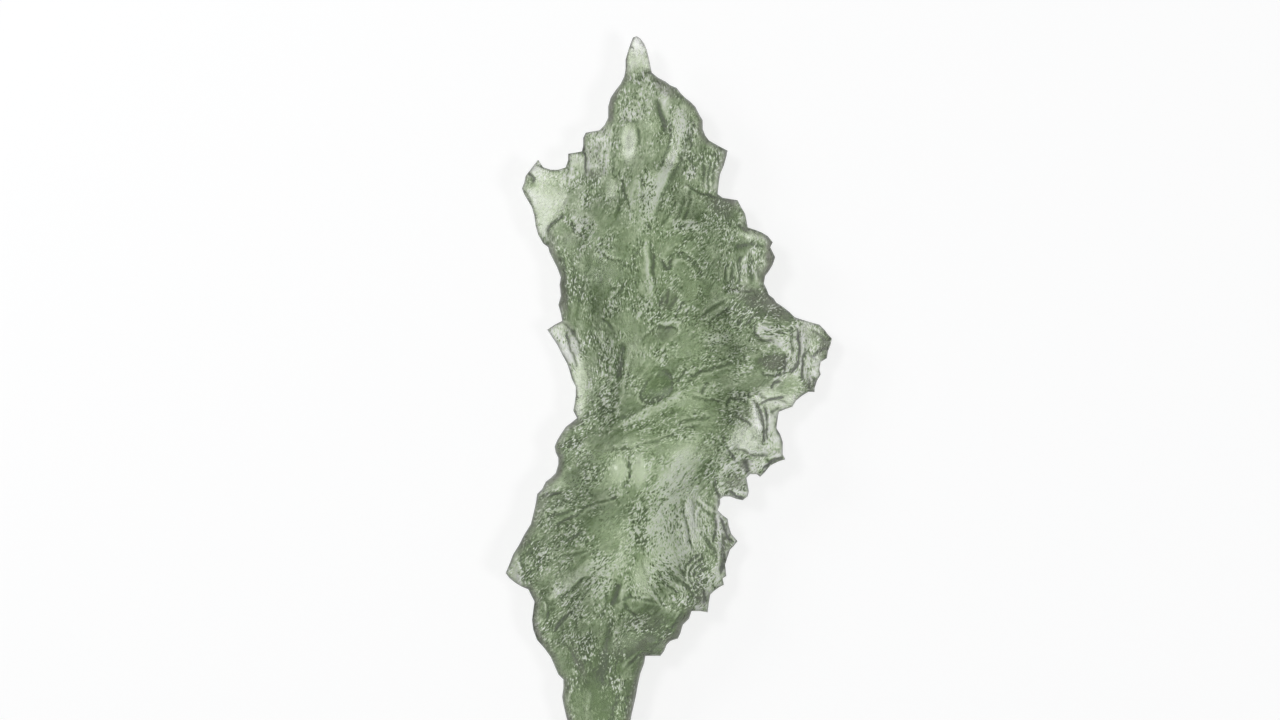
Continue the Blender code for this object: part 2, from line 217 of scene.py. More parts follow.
# %% [markdown]
# How deep inside the rim
#
# The distance from a place to the rim tells where the edge has to be rounded, and the height of
# the nearest rim point tells where both sheets have to meet. A ray to the right crosses the rim
# an odd number of times from inside.

# %% Depth inside the rim


def to_ring(x, y, ring):
    """Distance to a closed ring, negative outside it, and its height at the nearest place."""
    nearest = np.full(x.shape, np.inf)
    height = np.zeros(x.shape)
    inside = np.zeros(x.shape, dtype=bool)
    for start, end in zip(ring, np.roll(ring, -1, axis=0)):
        run = end - start
        share = ((x - start[0]) * run[0] + (y - start[1]) * run[1]) / (run[:2] @ run[:2])
        share = np.clip(share, 0.0, 1.0)
        gap = np.hypot(x - start[0] - share * run[0], y - start[1] - share * run[1])
        closer = gap < nearest
        nearest = np.where(closer, gap, nearest)
        height = np.where(closer, start[2] + share * run[2], height)
        if start[1] != end[1]:
            crossing = (start[1] > y) != (end[1] > y)
            inside ^= crossing & (x < start[0] + (y - start[1]) * run[0] / run[1])
    return np.where(inside, nearest, -nearest), height


def depth_map(ring):
    """How deep each cell lies inside a ring, worked out for every other cell and filled in."""
    coarse, _ = to_ring(X[::2, ::2], Y[::2, ::2], ring)
    full = np.repeat(np.repeat(coarse, 2, axis=0), 2, axis=1)[:X.shape[0], :X.shape[1]]
    return blurred(full, CELL)


depth = depth_map(rim)
print("deepest place inside the rim, mm:", round(float(depth.max()), 2))

# %% [markdown]
# The form of each sheet
#
# The solid's triangles are about 0.7 mm across, and a step's facets would show in clear glass.
# Many places are picked evenly in every triangle, their heights are averaged into the map's
# cells, and the map is blurred a little. Places near the rim count for next to nothing, because
# there the finer mesh gets a rounded edge of its own.

# %% Form maps from the solid
PICKS = 11
FORM_BLUR = 0.22
RIM_STRIP = 0.34


def form_map(points, triangles):
    """Heights of a sheet as a map: picks in each triangle, averaged by cell, then blurred."""
    steps = (np.arange(PICKS) + 0.5) / PICKS
    share_b, share_c = (part.reshape(-1) for part in np.meshgrid(steps, steps))
    folded = share_b + share_c > 1.0
    share_b, share_c = (np.where(folded, 1 - share, share) for share in (share_b, share_c))
    shares = np.stack([1 - share_b - share_c, share_b, share_c])
    picks = np.einsum("tvk,vp->tpk", points[triangles], shares).reshape(-1, 3)
    column = np.rint((picks[:, 0] - map_x[0]) / CELL).astype(int)
    row = np.rint((picks[:, 1] - map_y[0]) / CELL).astype(int)
    weight = np.where(depth[row, column] > RIM_STRIP, 1.0, 1e-4)
    cell = row * len(map_x) + column
    total = np.bincount(cell, weight * picks[:, 2], X.size).reshape(X.shape)
    count = np.bincount(cell, weight, X.size).reshape(X.shape)
    near = blurred(total, FORM_BLUR) / (blurred(count, FORM_BLUR) + 1e-12)
    wide = blurred(total, 4 * FORM_BLUR) / (blurred(count, 4 * FORM_BLUR) + 1e-12)
    return np.where(blurred(count, FORM_BLUR) > 1e-6, near, wide)


front_form = form_map(cad_points, front_triangles)
back_form = form_map(cad_points, back_triangles)
thickness = np.where(depth > 0, front_form - back_form, 0.0)
print("thickest place, mm:", round(float(thickness.max()), 2))

# %% [markdown]
# Noise for an etched skin
#
# Four kinds of unevenness are on the real stone. Soft waves come from a grid of random heights
# read smoothly. Cups come from random centres: the distance to the nearest centre makes hollows
# that meet in sharp ridges. Streaks follow the old flow of the glass: random heights are averaged
# along the flow's direction, which leaves long furrows that bend with it. Flakes are made the same
# way from blocks with a value each, and they keep a crisp side.

# %% Waves and cups


def waves(x, y, size, seed):
    """Random heights on a grid of the given size, read with a smooth blend, about -1 to 1."""
    heights = np.random.default_rng(seed).uniform(-1, 1, (256, 256))
    column, row = x / size + 97.3, y / size + 113.7
    left, low = np.floor(column).astype(int), np.floor(row).astype(int)
    across, up = column - left, row - low
    across = across * across * (3 - 2 * across)
    up = up * up * (3 - 2 * up)
    corner = [[heights[(low + i) % 256, (left + j) % 256] for j in (0, 1)] for i in (0, 1)]
    lower = corner[0][0] * (1 - across) + corner[0][1] * across
    upper = corner[1][0] * (1 - across) + corner[1][1] * across
    return lower * (1 - up) + upper * up


def cells(x, y, size, seed):
    """Distance to the nearest of the random centres, one in each square of the given size, and
    that centre's own random value, -1 to 1."""
    random = np.random.default_rng(seed)
    offsets, values = random.uniform(0.1, 0.9, (2, 256, 256)), random.uniform(-1, 1, (256, 256))
    column, row = x / size + 91.0, y / size + 83.0
    left, low = np.floor(column).astype(int), np.floor(row).astype(int)
    nearest, value = np.full(x.shape, 9.0), np.zeros(x.shape)
    for i in (-1, 0, 1):
        for j in (-1, 0, 1):
            cell = (low + i) % 256, (left + j) % 256
            away = np.hypot(column - left - j - offsets[0][cell],
                            row - low - i - offsets[1][cell])
            value = np.where(away < nearest, values[cell], value)
            nearest = np.minimum(nearest, away)
    return nearest, value


def cups(x, y, size, seed):
    """Hollows that meet in sharp ridges: the squared distance to the nearest centre."""
    return cells(x, y, size, seed)[0] ** 2 - 0.3


wobble_x = X + 0.10 * waves(X, Y, 0.7, 41) + 0.05 * waves(X, Y, 0.25, 42)
wobble_y = Y + 0.10 * waves(X, Y, 0.7, 43) + 0.05 * waves(X, Y, 0.25, 44)


# %% The flow of the glass
# Right and down on the grid, then the flow's angle there in degrees, turning left from right
FLOW = [
    (638, 55, 88), (655, 95, 80), (680, 140, 76), (650, 200, 74), (605, 190, 84), (590, 225, 60),
    (712, 175, 84), (690, 210, 62), (545, 200, 62), (560, 265, 108), (600, 280, 70),
    (648, 265, 84), (685, 262, 30), (700, 300, 52), (740, 270, 84), (745, 315, 52),
    (725, 345, 25), (775, 330, -8), (800, 350, 84), (820, 350, 80), (775, 370, 30),
    (735, 365, 14), (690, 378, 22), (650, 395, 36), (625, 345, 95), (600, 400, 46),
    (577, 370, 116), (740, 395, 10), (765, 425, 106), (790, 400, 8), (700, 420, 14),
    (640, 443, 16), (572, 445, 30), (700, 460, 44), (745, 440, 30), (660, 480, 48),
    (620, 470, 80), (590, 505, 26), (560, 525, 28), (545, 560, 52), (520, 570, 60),
    (600, 540, 38), (640, 530, 62), (690, 530, 102), (718, 540, 108), (585, 585, 42),
    (560, 612, 50), (610, 610, 72), (650, 585, 114), (672, 575, 136), (705, 575, 60),
    (640, 635, 24), (675, 620, 40), (600, 660, 80), (598, 720, 96), (598, 775, 92),
]
FLOW_SEAM = math.radians(25)
STREAK_ROUNDS = 4


def flow_map():
    """The flow's direction in each cell: anchors blended by nearness, with opposite ends equal."""
    anchors = np.array(FLOW, dtype=float)
    places = on_stone(anchors[:, :2])
    doubled = np.radians(anchors[:, 2]) * 2
    cosine, sine, total = (np.zeros(X[::4, ::4].shape) for _ in range(3))
    for (x, y), angle in zip(places, doubled):
        weight = 1.0 / ((X[::4, ::4] - x) ** 2 + (Y[::4, ::4] - y) ** 2 + 0.3) ** 1.5
        cosine += weight * np.cos(angle)
        sine += weight * np.sin(angle)
        total += weight
    angle = np.arctan2(sine, cosine) / 2
    full = [np.repeat(np.repeat(part, 4, axis=0), 4, axis=1)[:X.shape[0], :X.shape[1]]
            for part in (np.cos(2 * angle), np.sin(2 * angle))]
    angle = np.arctan2(blurred(full[1], 0.15), blurred(full[0], 0.15)) / 2
    angle = np.mod(angle + FLOW_SEAM, math.pi) - FLOW_SEAM
    return np.cos(angle), np.sin(angle)


def along_flow(total, length):
    """A map averaged along the flow: each round averages it with its own copy shifted along the
    flow, and the shift doubles, so four rounds cover sixteen steps. Its spread is set to 0.5."""
    shift_x, shift_y = (length / 2 ** STREAK_ROUNDS * part for part in (flow_x, flow_y))
    for _ in range(STREAK_ROUNDS):
        x, y = X + shift_x, Y + shift_y
        total = (total + read_map(total, x, y)) / 2
        shift_x, shift_y = shift_x + read_map(shift_x, x, y), shift_y + read_map(shift_y, x, y)
    return (total - total.mean()) / total.std() * 0.5


def streaks(grain, length, seed):
    """Random heights of two sizes, averaged along the flow."""
    return along_flow(waves(X, Y, grain, seed) + 0.5 * waves(X, Y, grain / 2, seed + 1), length)


def flakes(size, length, seed):
    """The random values of cells, averaged a short way along the flow."""
    return along_flow(cells(wobble_x, wobble_y, size, seed)[1], length)


flow_x, flow_y = flow_map()
broad_streaks = streaks(0.55, 4.0, 11)
middle_streaks = streaks(0.24, 1.8, 21)
fine_streaks = streaks(0.12, 0.8, 31)
broad_flakes = flakes(0.62, 1.1, 32)
fine_flakes = flakes(0.30, 0.30, 33)
print("most of a streak and of a flake:", round(float(broad_streaks.max()), 2),
      round(float(fine_flakes.max()), 2))

# %% [markdown]
# Lines drawn one by one
#
# The strong furrows, ridges and ledges are this stone's own, so they are placed one by one on
# the picture's grid. Each is a line with a width and a height in millimetres. Its corners are cut
# twice to round it, and the map cells near it learn two things: how far they are from the line,
# with a sign for its side, and how far along it they are, so that it can fade out at its ends.

# %% A line on the map
FULL_SHADE_HEIGHT = 0.25
FULL_LEDGE = 0.22
LEAST_TRACE = 0.12
CREST_OFF = 0.16
FOOT_OFF = -0.05


def rounded_line(places):
    """The line with its corners cut twice, each at a quarter and three quarters of a run."""
    line = on_stone(places)
    for _ in range(2):
        if len(line) < 3:
            break
        quarter = line[:-1] * 0.75 + line[1:] * 0.25
        later = line[:-1] * 0.25 + line[1:] * 0.75
        middle = np.stack([quarter, later], axis=1).reshape(-1, 2)
        line = np.concatenate([line[:1], middle[1:-1], line[-1:]])
    return line


def near_line(places, reach):
    """Window of the map, signed distance (left of the line is positive) and share of its way."""
    line = rounded_line(places)
    low, high = line.min(axis=0) - reach, line.max(axis=0) + reach
    rows = slice(*np.searchsorted(map_y, (low[1], high[1])))
    columns = slice(*np.searchsorted(map_x, (low[0], high[0])))
    x, y = wobble_x[rows, columns], wobble_y[rows, columns]
    lengths = np.hypot(*np.diff(line, axis=0).T)
    travelled = np.concatenate([[0.0], np.cumsum(lengths)]) / lengths.sum()
    nearest, side, way = np.full(x.shape, np.inf), np.zeros(x.shape), np.zeros(x.shape)
    for i, (start, run) in enumerate(zip(line[:-1], np.diff(line, axis=0))):
        share = ((x - start[0]) * run[0] + (y - start[1]) * run[1]) / (run @ run)
        share = np.clip(share, 0.0, 1.0)
        gap_x, gap_y = x - start[0] - share * run[0], y - start[1] - share * run[1]
        gap = np.hypot(gap_x, gap_y)
        closer = gap < nearest
        nearest = np.where(closer, gap, nearest)
        side = np.where(closer, np.sign(run[0] * gap_y - run[1] * gap_x), side)
        way = np.where(closer, travelled[i] + share * (travelled[i + 1] - travelled[i]), way)
    return (rows, columns), nearest * side, way


def faded(way):
    """1 along the line, falling to 0 at both ends over a sixth of it."""
    return smooth_step(np.minimum(way, 1 - way), -0.02, 0.17)


def keep_stronger_shading(painted_line_shading, window, new_shading):
    """The painted shading keeps what is stronger at each place: painted highlight over 0, painted
    shade under it.
    """
    painted_line_shading[window] = np.where(np.abs(new_shading) > np.abs(painted_line_shading[window]), new_shading, painted_line_shading[window])


def add_lines(field, painted_line_shading, lines):
    """Ridges (height over 0) and furrows (under 0), bell-shaped across. Along each goes painted
    light and shade: a painted highlight on a ridge, painted shade in a furrow, each with a fainter
    painted trace of the other kind along its left side."""
    for width, height, places in lines:
        window, side, way = near_line(places, 4 * width)
        bell = faded(way) * np.exp(-np.abs(side / width) ** 1.6)
        field[window] += height * bell
        trace = max(width, LEAST_TRACE)
        bell = faded(way) * np.exp(-np.abs(side / trace) ** 2.4)
        painted_side_trace = faded(way) * np.exp(-((side - 1.9 * trace) / (0.8 * trace)) ** 2)
        keep_stronger_shading(painted_line_shading, window, np.clip(height / FULL_SHADE_HEIGHT, -1, 1) * (bell - 0.6 * painted_side_trace))


def add_ledges(field, painted_line_shading, ledges):
    """Steps: the left side stands up at the line and falls back over the given reach. The foot
    of the step gets painted shade and its crest a painted highlight."""
    for reach, height, places in ledges:
        window, side, way = near_line(places, 3 * reach)
        step = smooth_step(side, -0.06, 0.10) * np.exp(-np.maximum(side, 0.0) / reach)
        field[window] += height * faded(way) * step
        foot, crest = (np.exp(-((side - off) / 0.10) ** 2) for off in (FOOT_OFF, CREST_OFF))
        keep_stronger_shading(painted_line_shading, window, faded(way) * min(height / FULL_LEDGE, 1)
                  * (0.5 * crest - 0.65 * foot))


# %% The upper third
UPPER_LINES = [
    (0.10, -0.12, [(640, 73), (650, 73), (665, 82), (677, 88)]),
    (0.22, -0.22, [(657, 98), (659, 110), (664, 122), (668, 136)]),
    (0.13, -0.22, [(668, 113), (671, 128), (669, 148), (663, 162), (657, 176)]),
    (0.30, 0.26, [(678, 106), (682, 120), (680, 140), (676, 155), (668, 170), (660, 185),
                  (652, 205), (648, 222)]),
    (0.10, 0.14, [(690, 122), (687, 141)]), (0.12, -0.18, [(691, 128), (692, 147)]),
    (0.10, -0.08, [(690, 161), (698, 151)]), (0.10, -0.08, [(693, 168), (702, 158)]),
    (0.11, -0.18, [(706, 163), (704, 176), (705, 190)]),
    (0.10, -0.18, [(711, 160), (709, 175), (709, 192)]),
    (0.10, -0.16, [(716, 158), (714, 174), (713, 190)]),
    (0.10, -0.10, [(720, 152), (718, 166)]),
    (0.10, -0.16, [(691, 188), (689, 208), (683, 223)]),
    (0.10, -0.16, [(684, 194), (681, 214), (669, 229)]),
    (0.10, -0.12, [(676, 200), (672, 214), (661, 226)]),
    (0.10, -0.20, [(638, 126), (639, 136), (638, 148)]),
    (0.14, -0.16, [(623, 180), (625, 195), (629, 206), (633, 214)]),
    (0.10, -0.10, [(616, 150), (613, 166), (614, 180)]),
    (0.12, 0.12, [(622, 98), (631, 97), (641, 106)]),
    (0.14, -0.20, [(623, 118), (632, 122), (640, 119)]),
    (0.10, -0.16, [(534, 166), (541, 167), (549, 171), (561, 169)]),
    (0.10, -0.14, [(568, 149), (574, 151), (581, 153)]),
    (0.10, -0.22, [(524, 180), (526, 175), (531, 174), (535, 178), (533, 184)]),
    (0.14, -0.14, [(523, 189), (529, 197), (531, 204), (535, 212)]),
    (0.10, -0.10, [(569, 160), (570, 172), (567, 182)]),
    (0.11, -0.24, [(583, 140), (583, 150), (586, 160), (586, 170), (584, 177)]),
    (0.16, -0.22, [(564, 213), (557, 220), (551, 227), (545, 233)]),
    (0.11, -0.16, [(569, 220), (575, 233), (588, 238)]),
    (0.10, -0.14, [(640, 172), (644, 190), (641, 206)]),
    (0.14, -0.18, [(645, 224), (651, 231)]),
    (0.12, -0.10, [(600, 140), (597, 156), (600, 170)]),
]
UPPER_LEDGES = [
    (0.7, 0.26, [(719, 199), (707, 196), (692, 190), (683, 182)]),
    (0.6, 0.22, [(681, 92), (677, 87), (665, 81), (652, 73), (641, 71)]),
    (0.5, 0.16, [(697, 176), (690, 165), (686, 152)]),
    (0.6, 0.18, [(702, 224), (690, 224), (676, 231)]),
]

# %% The middle
MIDDLE_LINES = [
    (0.10, 0.14, [(621, 281), (617, 292), (608, 300), (611, 307)]),
    (0.24, 0.22, [(645, 234), (647, 262), (649, 285), (652, 301)]),
    (0.12, -0.22, [(652, 249), (655, 262), (653, 277)]),
    (0.14, -0.28, [(660, 258), (667, 273), (672, 257)]),
    (0.12, -0.12, [(667, 265), (670, 257), (678, 252), (688, 256), (695, 263), (703, 275),
                   (698, 284)]),
    (0.10, 0.14, [(672, 266), (680, 259), (689, 264), (695, 274)]),
    (0.10, -0.18, [(737, 225), (745, 228), (753, 232)]),
    (0.20, -0.16, [(734, 246), (750, 243), (766, 247)]),
    (0.11, -0.20, [(744, 254), (739, 265), (741, 276), (737, 286)]),
    (0.11, -0.20, [(735, 262), (732, 273), (733, 285)]),
    (0.10, -0.16, [(728, 262), (726, 272), (728, 284)]),
    (0.14, 0.16, [(748, 252), (745, 268), (748, 286)]),
    (0.09, 0.12, [(755, 262), (754, 271), (757, 281)]),
    (0.10, -0.14, [(751, 256), (751, 270), (753, 284)]),
    (0.10, -0.20, [(662, 297), (661, 307)]), (0.10, -0.20, [(668, 289), (666, 306)]),
    (0.10, -0.20, [(679, 295), (674, 303), (669, 311)]),
    (0.10, -0.18, [(684, 302), (675, 316)]), (0.10, -0.14, [(692, 305), (684, 318)]),
    (0.10, 0.20, [(664, 323), (673, 322), (683, 325)]), (0.10, 0.16, [(678, 324), (678, 337)]),
    (0.14, -0.18, [(654, 327), (666, 325), (677, 330)]),
    (0.12, -0.18, [(699, 319), (711, 307), (728, 299)]),
    (0.12, -0.16, [(705, 326), (718, 314), (733, 307)]),
    (0.10, 0.10, [(702, 322), (714, 311), (730, 303)]),
    (0.12, -0.16, [(735, 326), (742, 315), (750, 305)]),
    (0.12, -0.16, [(744, 327), (750, 318), (757, 311)]),
    (0.11, -0.20, [(565, 328), (570, 345), (574, 358), (578, 370)]),
    (0.26, -0.24, [(623, 342), (622, 362), (617, 381)]),
    (0.10, 0.16, [(628, 354), (625, 376), (622, 401)]),
    (0.12, -0.18, [(655, 368), (668, 370), (673, 385), (665, 399), (650, 403), (639, 398),
                   (648, 382), (655, 369)]),
    (0.22, 0.20, [(616, 426), (630, 422), (640, 415), (655, 405), (672, 398), (686, 385)]),
    (0.10, 0.16, [(669, 383), (676, 372), (683, 363)]),
    (0.10, -0.16, [(674, 385), (682, 374), (688, 366)]),
    (0.14, -0.34, [(689, 375), (695, 374), (702, 370)]),
    (0.14, -0.12, [(700, 371), (715, 367), (736, 362)]),
    (0.12, -0.26, [(708, 383), (703, 388), (700, 394)]),
    (0.09, -0.13, [(598, 453), (620, 449), (633, 447), (641, 444), (655, 441), (668, 436),
                   (681, 431)]),
    (0.09, -0.12, [(668, 437), (677, 429), (690, 427), (703, 424)]),
    (0.10, -0.14, [(673, 428), (685, 420), (700, 418), (714, 415)]),
    (0.14, -0.20, [(727, 409), (728, 398), (740, 399), (751, 403)]),
    (0.12, -0.20, [(735, 411), (743, 418), (752, 427)]),
    (0.10, -0.10, [(700, 345), (716, 342), (730, 347)]),
    (0.16, -0.14, [(560, 246), (565, 268), (566, 292), (568, 316)]),
    (0.14, -0.16, [(600, 318), (612, 326), (616, 340)]),
    (0.10, 0.10, [(590, 330), (600, 338), (608, 352)]),
    (0.12, -0.14, [(690, 395), (706, 402), (722, 398)]),
]
RIBS_PLACE = (733, 392)
RIBS_STEP = 4.2
RIB_COUNT = 5
MIDDLE_LINES += [(0.10, -0.24, [(RIBS_PLACE[0] + RIBS_STEP * i, RIBS_PLACE[1]),
                                (RIBS_PLACE[0] - 1 + RIBS_STEP * i, RIBS_PLACE[1] + 7)])
                 for i in range(RIB_COUNT)]
MIDDLE_LEDGES = [
    (0.8, 0.30, [(580, 356), (577, 341), (571, 330), (561, 320)]),
    (0.6, 0.24, [(637, 345), (652, 328), (676, 326), (681, 340)]),
    (0.7, 0.10, [(703, 276), (712, 262), (722, 256), (737, 244)]),
    (0.6, 0.20, [(757, 292), (742, 292), (728, 288)]),
    (0.8, 0.26, [(688, 384), (672, 398), (655, 406), (641, 416), (618, 427)]),
    (0.8, 0.22, [(736, 364), (715, 368), (700, 373), (689, 378)]),
    (0.7, 0.08, [(668, 438), (641, 446), (620, 451), (600, 454)]),
    (0.5, 0.20, [(596, 246), (606, 258), (622, 262)]),
]

# %% The fins at the right
RIGHT_LINES = [
    (0.10, 0.16, [(757, 321), (770, 330), (786, 337)]),
    (0.12, -0.20, [(754, 322), (755, 332), (762, 340), (776, 341)]),
    (0.10, -0.24, [(794, 324), (799, 333), (800, 342), (799, 353), (799, 362), (797, 368),
                   (787, 377)]),
    (0.10, 0.20, [(803, 334), (803, 350), (801, 368)]),
    (0.10, -0.24, [(808, 350), (803, 358), (802, 368), (803, 382)]),
    (0.10, -0.10, [(790, 326), (793, 340), (793, 356)]),
    (0.12, -0.22, [(785, 352), (787, 366), (783, 376)]),
    (0.12, -0.26, [(761, 372), (770, 377), (783, 373)]),
    (0.10, -0.20, [(771, 391), (774, 384), (782, 378)]),
    (0.10, -0.18, [(809, 379), (811, 391)]), (0.10, -0.18, [(815, 377), (815, 389)]),
    (0.10, -0.14, [(820, 362), (812, 356), (806, 350)]),
    (0.12, -0.22, [(828, 346), (818, 352), (814, 360)]),
    (0.10, -0.16, [(812, 330), (822, 336), (828, 344)]),
    (0.10, -0.26, [(760, 407), (763, 402), (773, 400), (786, 397)]),
    (0.09, -0.22, [(752, 400), (757, 405), (761, 409)]),
    (0.10, -0.26, [(755, 400), (759, 408), (761, 414), (762, 425), (765, 436), (764, 446)]),
    (0.10, -0.26, [(765, 404), (767, 418), (766, 428), (768, 443)]),
    (0.09, -0.18, [(780, 408), (774, 410), (772, 414)]),
    (0.09, -0.20, [(775, 420), (776, 428), (781, 437), (783, 450)]),
    (0.22, 0.26, [(753, 400), (755, 414), (759, 424), (762, 432)]),
    (0.10, 0.22, [(763, 410), (764, 420), (767, 430), (766, 440)]),
    (0.12, -0.20, [(721, 433), (725, 440), (728, 448), (733, 456), (736, 463)]),
    (0.12, -0.20, [(733, 449), (740, 448), (746, 451), (754, 456), (772, 456)]),
    (0.10, -0.24, [(762, 471), (770, 462), (779, 457), (785, 459)]),
    (0.10, 0.16, [(760, 459), (772, 457), (782, 454)]),
    (0.20, -0.30, [(745, 459), (746, 467), (748, 473)]),
    (0.12, 0.26, [(737, 492), (748, 493)]), (0.14, -0.24, [(728, 490), (738, 497), (746, 499)]),
    (0.10, -0.24, [(714, 478), (716, 486), (716, 493)]),
    (0.14, -0.22, [(715, 477), (716, 489), (719, 500), (718, 510)]),
    (0.10, -0.16, [(745, 354), (745, 362)]),
    (0.09, -0.14, [(744, 229), (752, 234), (762, 234)]),
    (0.10, 0.12, [(766, 240), (771, 250), (770, 262)]),
]
RIGHT_LEDGES = [
    (0.6, 0.08, [(762, 447), (753, 433), (744, 427), (731, 431), (730, 445), (738, 452)]),
    (0.7, 0.24, [(790, 405), (777, 401), (766, 400), (755, 393)]),
    (0.6, 0.18, [(800, 322), (801, 340), (800, 360), (788, 378)]),
    (0.5, 0.20, [(722, 506), (717, 492), (714, 476)]),
]

# %% The lower body and the stem
LOWER_LINES = [
    (0.16, -0.20, [(543, 497), (552, 494), (562, 491)]),
    (0.14, 0.18, [(548, 513), (556, 510), (565, 508)]), (0.09, 0.14, [(546, 511), (546, 523)]),
    (0.14, -0.16, [(547, 518), (560, 513), (572, 513)]),
    (0.10, -0.14, [(574, 517), (582, 509), (591, 505), (601, 501), (612, 499), (620, 496)]),
    (0.12, -0.20, [(553, 527), (566, 520), (580, 513)]),
    (0.12, 0.14, [(564, 536), (571, 530), (582, 526)]),
    (0.10, -0.18, [(566, 541), (574, 534), (588, 529)]),
    (0.12, -0.12, [(556, 558), (572, 554), (590, 548)]),
    (0.10, -0.20, [(627, 454), (629, 466), (629, 481)]),
    (0.10, -0.16, [(629, 479), (624, 487)]), (0.12, -0.18, [(583, 468), (586, 479)]),
    (0.12, -0.14, [(584, 494), (597, 495)]),
    (0.30, 0.14, [(601, 559), (582, 574), (561, 590), (545, 601)]),
    (0.12, 0.12, [(611, 562), (594, 577), (574, 595), (560, 606)]),
    (0.12, -0.18, [(588, 574), (572, 589), (556, 600)]),
    (0.14, -0.36, [(572, 610), (566, 617), (559, 624), (551, 632)]),
    (0.26, -0.30, [(619, 582), (617, 594), (612, 607)]),
    (0.30, -0.14, [(610, 612), (607, 640), (604, 664), (600, 690)]),
    (0.10, 0.20, [(543, 600), (544, 613)]), (0.10, -0.18, [(548, 611), (545, 622)]),
    (0.10, -0.14, [(640, 558), (645, 574), (651, 585), (655, 595), (658, 601)]),
    (0.07, 0.16, [(652, 595), (658, 602), (663, 608)]),
    (0.10, -0.08, [(629, 596), (640, 600), (651, 600)]),
    (0.07, 0.12, [(630, 594), (641, 597), (651, 598)]),
    (0.08, -0.12, [(621, 599), (631, 611), (638, 620)]),
    (0.08, 0.16, [(651, 652), (641, 652), (633, 658), (625, 664), (621, 671)]),
    (0.10, -0.16, [(652, 655), (642, 655), (634, 661), (626, 667)]),
    (0.09, 0.18, [(659, 567), (671, 579), (685, 592)]),
    (0.10, -0.22, [(656, 571), (667, 584), (680, 595)]),
    (0.10, -0.20, [(663, 563), (676, 577), (690, 590)]),
    (0.08, 0.12, [(666, 560), (680, 574), (694, 587)]),
    (0.12, -0.24, [(678, 561), (683, 571), (684, 581)]),
    (0.09, 0.16, [(697, 497), (706, 506), (713, 512), (722, 512)]),
    (0.10, -0.18, [(695, 500), (704, 510), (712, 517)]),
    (0.13, -0.24, [(682, 498), (684, 513), (687, 526), (690, 538), (692, 549)]),
    (0.12, -0.12, [(674, 500), (676, 515), (680, 530)]),
    (0.12, 0.10, [(690, 500), (693, 515), (696, 530)]),
    (0.10, 0.16, [(698, 506), (697, 517)]), (0.10, 0.16, [(707, 505), (706, 516)]),
    (0.10, -0.20, [(703, 534), (708, 543), (716, 551), (718, 562)]),
    (0.10, 0.20, [(716, 538), (720, 548), (718, 560)]),
    (0.14, -0.26, [(714, 512), (717, 526), (715, 538), (712, 546)]),
    (0.12, 0.24, [(718, 532), (722, 542), (720, 552), (718, 562)]),
    (0.12, -0.26, [(719, 514), (724, 526), (727, 538), (734, 544)]),
    (0.12, -0.24, [(726, 552), (723, 564), (722, 576)]),
    (0.12, -0.26, [(703, 590), (706, 597), (703, 606)]), (0.12, 0.26, [(693, 598), (699, 604)]),
    (0.10, -0.18, [(672, 497), (677, 490), (684, 485)]),
    (0.12, -0.12, [(655, 512), (668, 496), (684, 478), (700, 458)]),
    (0.16, 0.12, [(660, 500), (676, 482), (692, 466), (708, 446)]),
    (0.12, -0.12, [(650, 492), (662, 486), (672, 484)]),
    (0.12, -0.14, [(600, 620), (606, 604), (606, 590)]),
    (0.10, -0.12, [(575, 612), (577, 622), (575, 632)]),
    (0.14, 0.14, [(568, 706), (570, 694), (572, 686)]),
    (0.12, -0.12, [(580, 560), (590, 552), (601, 548)]),
    (0.14, -0.12, [(560, 640), (572, 652), (580, 668)]),
    (0.16, -0.12, [(620, 690), (612, 716), (606, 745)]), (0.16, 0.10, [(588, 690), (586, 730)]),
]
KNOB_CENTRE = (708, 577)
KNOB_RINGS = (9, 14, 19, 24)
LOWER_LINES += [(0.10, -0.24, [(KNOB_CENTRE[0] + reach * math.cos(math.radians(angle)),
                                KNOB_CENTRE[1] - reach * math.sin(math.radians(angle)))
                               for angle in range(95, 275, 30)])
                for reach in KNOB_RINGS]
LOWER_LEDGES = [
    (0.7, 0.28, [(552, 633), (561, 624), (571, 612), (582, 598), (592, 586)]),
    (0.6, 0.20, [(618, 497), (601, 501), (590, 506), (577, 515)]),
    (0.6, 0.20, [(664, 606), (650, 601), (628, 596), (612, 606)]),
    (0.7, 0.20, [(644, 652), (660, 640), (676, 622), (684, 606)]),
    (0.7, 0.18, [(692, 550), (688, 530), (684, 508)]),
    (0.6, 0.24, [(705, 592), (698, 590), (690, 597), (687, 610)]),
    (0.5, 0.22, [(524, 586), (521, 572), (520, 556)]),
]
print("lines by hand:", sum(map(len, (UPPER_LINES, MIDDLE_LINES, RIGHT_LINES, LOWER_LINES))),
      "ledges:", sum(map(len, (UPPER_LEDGES, MIDDLE_LEDGES, RIGHT_LEDGES, LOWER_LEDGES))))
